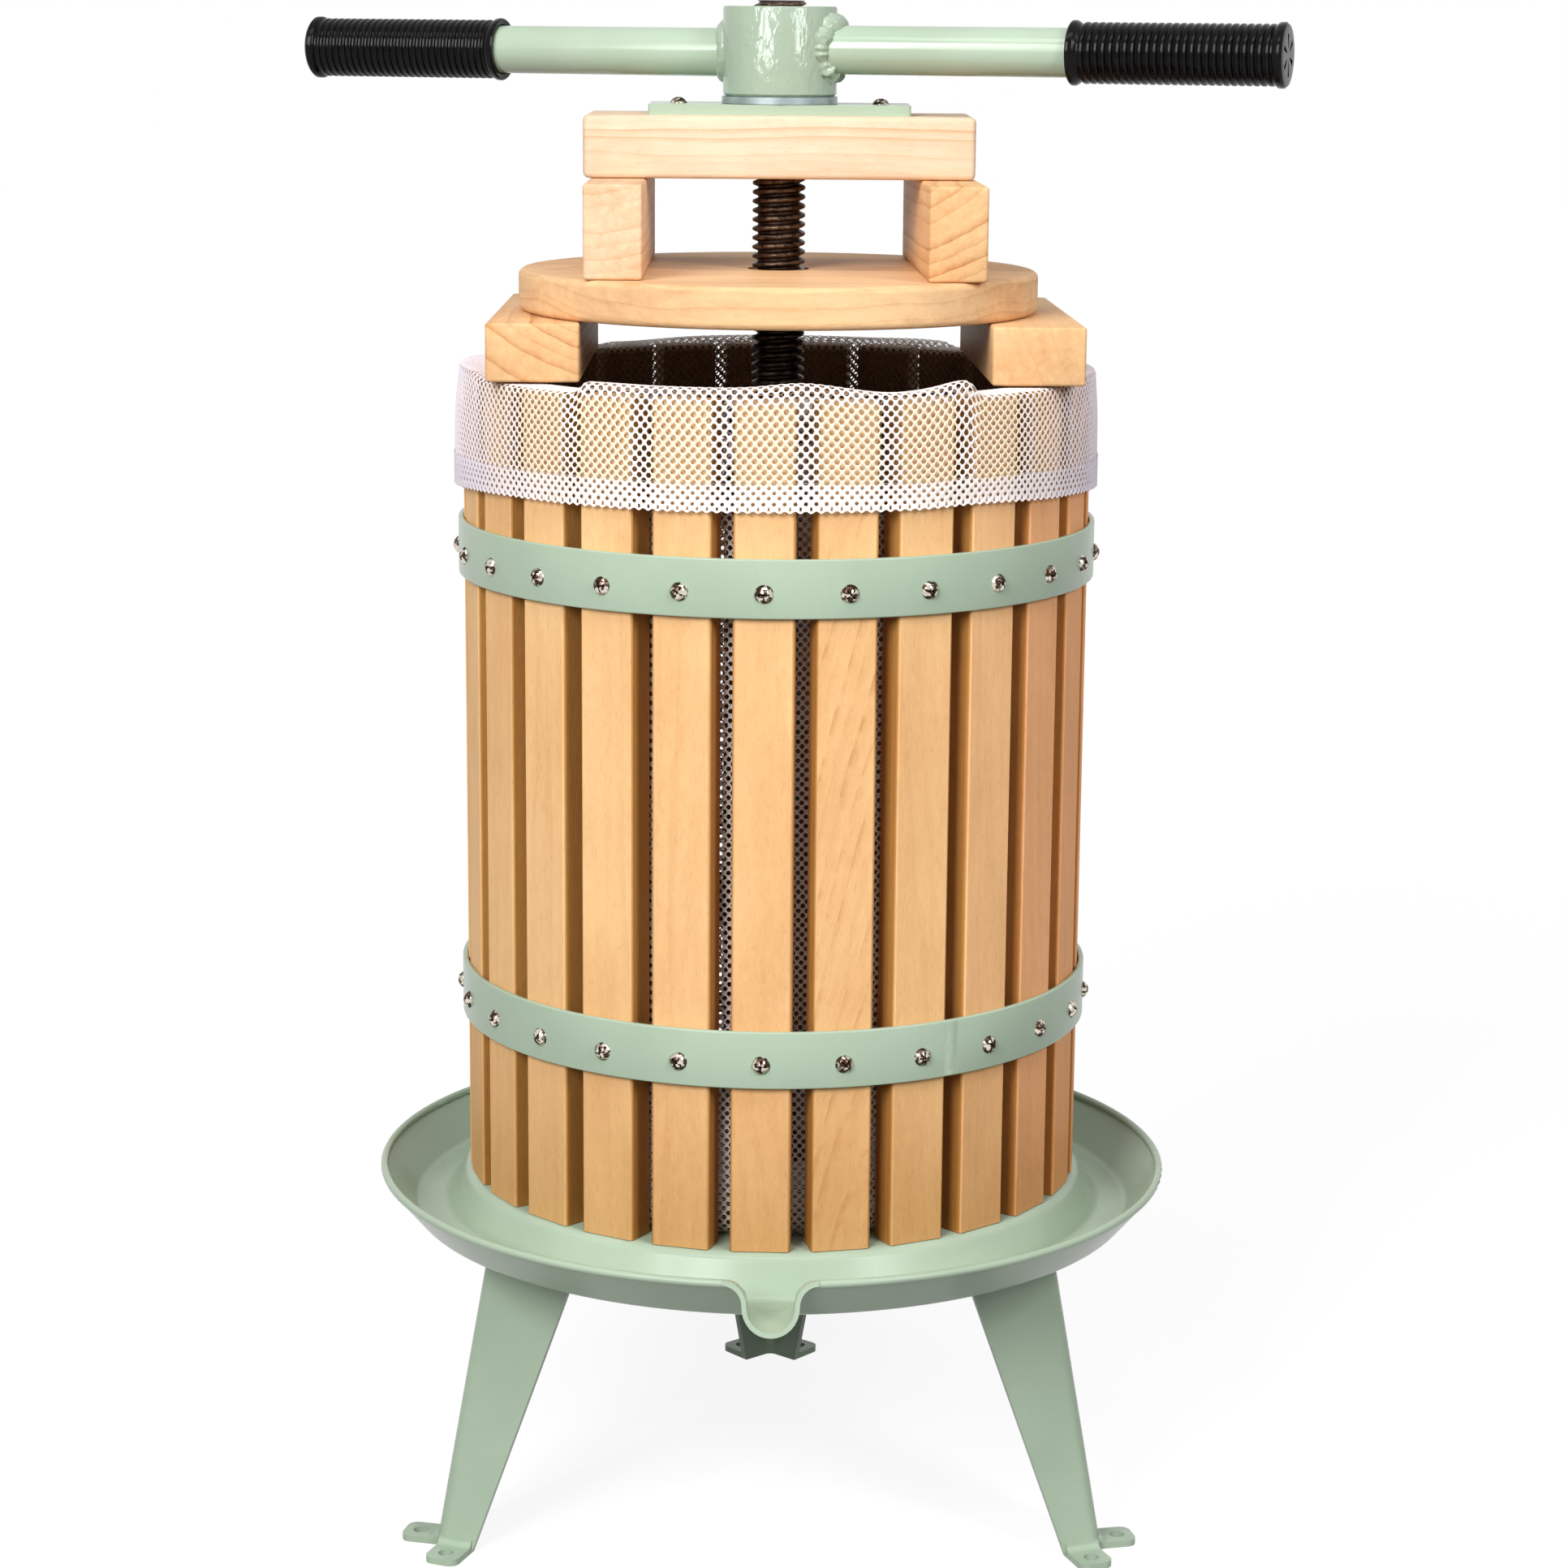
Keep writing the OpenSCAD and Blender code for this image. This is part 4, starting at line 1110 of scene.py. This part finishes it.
def humps(angle, *each):
    """The sum of smooth humps, each given by its height in mm, its place and its width in degrees."""
    total = 0
    for height, where, width in each:
        away = (np.degrees(angle) - where + 180) % 360 - 180
        total = total + height * np.exp(-((away / width) ** 2))
    return total


def fold_rise(angle):
    """How far the fold stands above the rim, in mm. It lies flat where a block can slide, and waves
    elsewhere."""
    from_front = np.abs((np.degrees(angle) + 180) % 360 - 180)
    from_end = np.minimum(from_front, 180 - from_front)
    before = np.clip((BLOCKS_FROM - from_end) / FLATTENS, 0, 1)
    after = np.clip((from_end - BLOCKS_TO) / RISES, 0, 1)
    free = before + after
    free = free * free * (3 - 2 * free)
    level = 0.6 + humps(angle, (4.4, 0, 70), (2, 180, 45), (1.2, -88, 18))
    waves = humps(angle, (0.8, -33, 10), (2.2, 4, 7), (-1.8, 20, 7), (2.6, 34, 5), (0.8, 150, 8),
                  (-1, 210, 9))
    return free * (level + waves)


def foot_rise(angle):
    """How far the foot of the cuff hangs off its level, in mm: lowest at the sides."""
    return humps(angle, (0.8, 10, 30), (1.2, 38, 12), (-3.3, -85, 22), (-2.8, 92, 26), (-1, 225, 30))


def along_line(length):
    """Radius, height and lean of the bag at a length along its line. The lean is 0 where the net faces
    outwards, a quarter turn where it faces up and half a turn where it faces inwards."""
    first_quarter, second_quarter = (np.clip((length - marks[n]) / fold_r, 0, math.pi / 2) for n in (1, 3))
    floor_turn = np.clip((length - marks[5]) / floor_bend, 0, math.pi / 2)
    up = np.clip(length, 0, marks[1])
    across = np.clip(length - marks[2], 0, runs[2])
    down = np.clip(length - marks[4], 0, runs[4])
    radius = outer_r - fold_r * (1 - np.cos(first_quarter)) - across - fold_r * np.sin(second_quarter) \
        - floor_bend * (1 - np.cos(floor_turn))
    height = cuff_low + up + fold_r * np.sin(first_quarter) - fold_r * (1 - np.cos(second_quarter)) - down \
        - floor_bend * np.sin(floor_turn)
    return radius, height, first_quarter + second_quarter - floor_turn


def slack(angle, length):
    """How much further out and how much higher the net lies because it is slack."""
    past_fold = length - marks[2]
    outside = past_fold < 0
    # The cuff hangs a little free of the slats, most at the sides.
    free = 1 - np.exp(-(past_fold / (14 * MM)) ** 2)
    loose = 0.25 + humps(angle, (0.8, 80, 26), (1.8, -84, 18), (1.8, 170, 50))
    ripple = 0.35 * np.sin(5 * angle + 1) + 0.3 * np.sin(11 * angle + 0.5) + 0.2 * np.sin(23 * angle)
    further = np.where(outside, free * (loose + np.abs(ripple)), 0)
    # Inside it sags away from the slats.
    inside = np.clip((length - marks[4]) / (60 * MM), 0, 1)
    sag = np.clip(1.2 + np.sin(7 * angle + 2) + 0.6 * np.sin(17 * angle), 0, 3)
    # The fold stands up between the blocks, most over the outer edge of the slats.
    beyond = np.clip(past_fold / (runs[2] + 4 * MM), 0, 1)
    share = np.where(outside, np.exp(-(past_fold / (22 * MM)) ** 2), 0.5 + 0.5 * np.cos(math.pi * beyond))
    at_foot = np.exp(-(length / (16 * MM)) ** 2)
    higher = share * fold_rise(angle) + at_foot * foot_rise(angle)
    return (further - inside * sag) * MM, higher * MM


def bend_bag(round_it, along, relief):
    """The bag's surface. The first row hangs at the foot of the cuff."""
    angle = round_it / ALL_ROUND * 2 * math.pi
    # The meshes are drawn a little out of line.
    drawn_round = 0.003 * np.sin(3 * angle + along / (21 * MM))
    angle = angle + drawn_round + 0.0015 * np.sin(14 * angle - along / (9 * MM))
    length = along + 0.25 * MM * np.sin(9 * angle + along / (16 * MM)) * np.clip(along / ROW, 0, 1)
    radius, height, lean = along_line(length)
    further, higher = slack(angle, length)
    radius = radius + further + relief * np.cos(lean)
    height = height + higher + relief * np.sin(lean)
    return np.stack([radius * np.sin(angle), -radius * np.cos(angle), height], axis=1)


print(f"the bag's line is {marks[-1] / MM:.1f} mm long, {ALL_ROUND / MM:.1f} mm round")

# %% [markdown]
# The bag is cut into a cuff, which folds over the rim, and a lining in three parts, so that no piece has too
# many triangles. The hem is a second layer of net at the foot of the cuff, with its holes half closed.

# %% Cuff, lining and hem
half_rows = int(marks[-1] / (ROW / 2))
cuff_rows = 54
HEM_ROWS = 6
HOLE = (2.5 * MM, 2.0 * MM)
HEM_HOLE = (1.8 * MM, 1.5 * MM)
HEM_LIFT = 0.4 * MM
net_piece("bag_cuff", flat_net(BAG_COLUMNS, cuff_rows, HOLE, scalloped=True), bend_bag,
          (ALL_ROUND, cuff_rows * ROW / 2), ["straining_bag"])


def bend_lining(first_column):
    """The bend of a part of the bag's inside that starts at this column."""
    return lambda round_it, along, relief: bend_bag(round_it + first_column * COLUMN, along, relief)


third = BAG_COLUMNS // 3
lining_rows = half_rows - cuff_rows
for number in range(3):
    net_piece(f"bag_lining_{number + 1}", flat_net(third, lining_rows, HOLE, skip_rows=cuff_rows),
              bend_lining(number * third), (ALL_ROUND / 3, lining_rows * ROW / 2),
              ["straining_bag"])


def bend_hem(round_it, along, relief):
    """The second layer at the foot of the cuff."""
    place = bend_bag(round_it, along, relief)
    out = place[:, :2] / np.linalg.norm(place[:, :2], axis=1)[:, None]
    place[:, :2] += out * HEM_LIFT
    return place


net_piece("bag_hem", flat_net(BAG_COLUMNS, HEM_ROWS, HEM_HOLE, scalloped=True), bend_hem,
          (ALL_ROUND, HEM_ROWS * ROW / 2))

# %% [markdown]
# The floor of the bag is the same net laid flat on the platform. It is cut round, with a hole for the screw.

# %% Floor of the bag
floor_r = inner_r - floor_bend + 1.5 * MM
floor_net = flat_net(int(2 * floor_r / COLUMN), int(4 * floor_r / ROW), HOLE)
bmesh.ops.translate(floor_net, vec=(-floor_r, -floor_r, 0), verts=floor_net.verts)
outside = [f for f in floor_net.faces if not collar_r + 0.5 * MM < f.calc_center_median().xy.length < floor_r]
bmesh.ops.delete(floor_net, geom=outside, context="FACES")
net_piece("bag_floor", floor_net, lambda x, y, relief: np.stack([x, y, floor_z + relief], axis=1),
          (2 * floor_r, 2 * floor_r), ["straining_bag"])

# %% [markdown]
# The size of the finished press is taken from the bounds of its objects.

# %% Size and end
low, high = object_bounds()
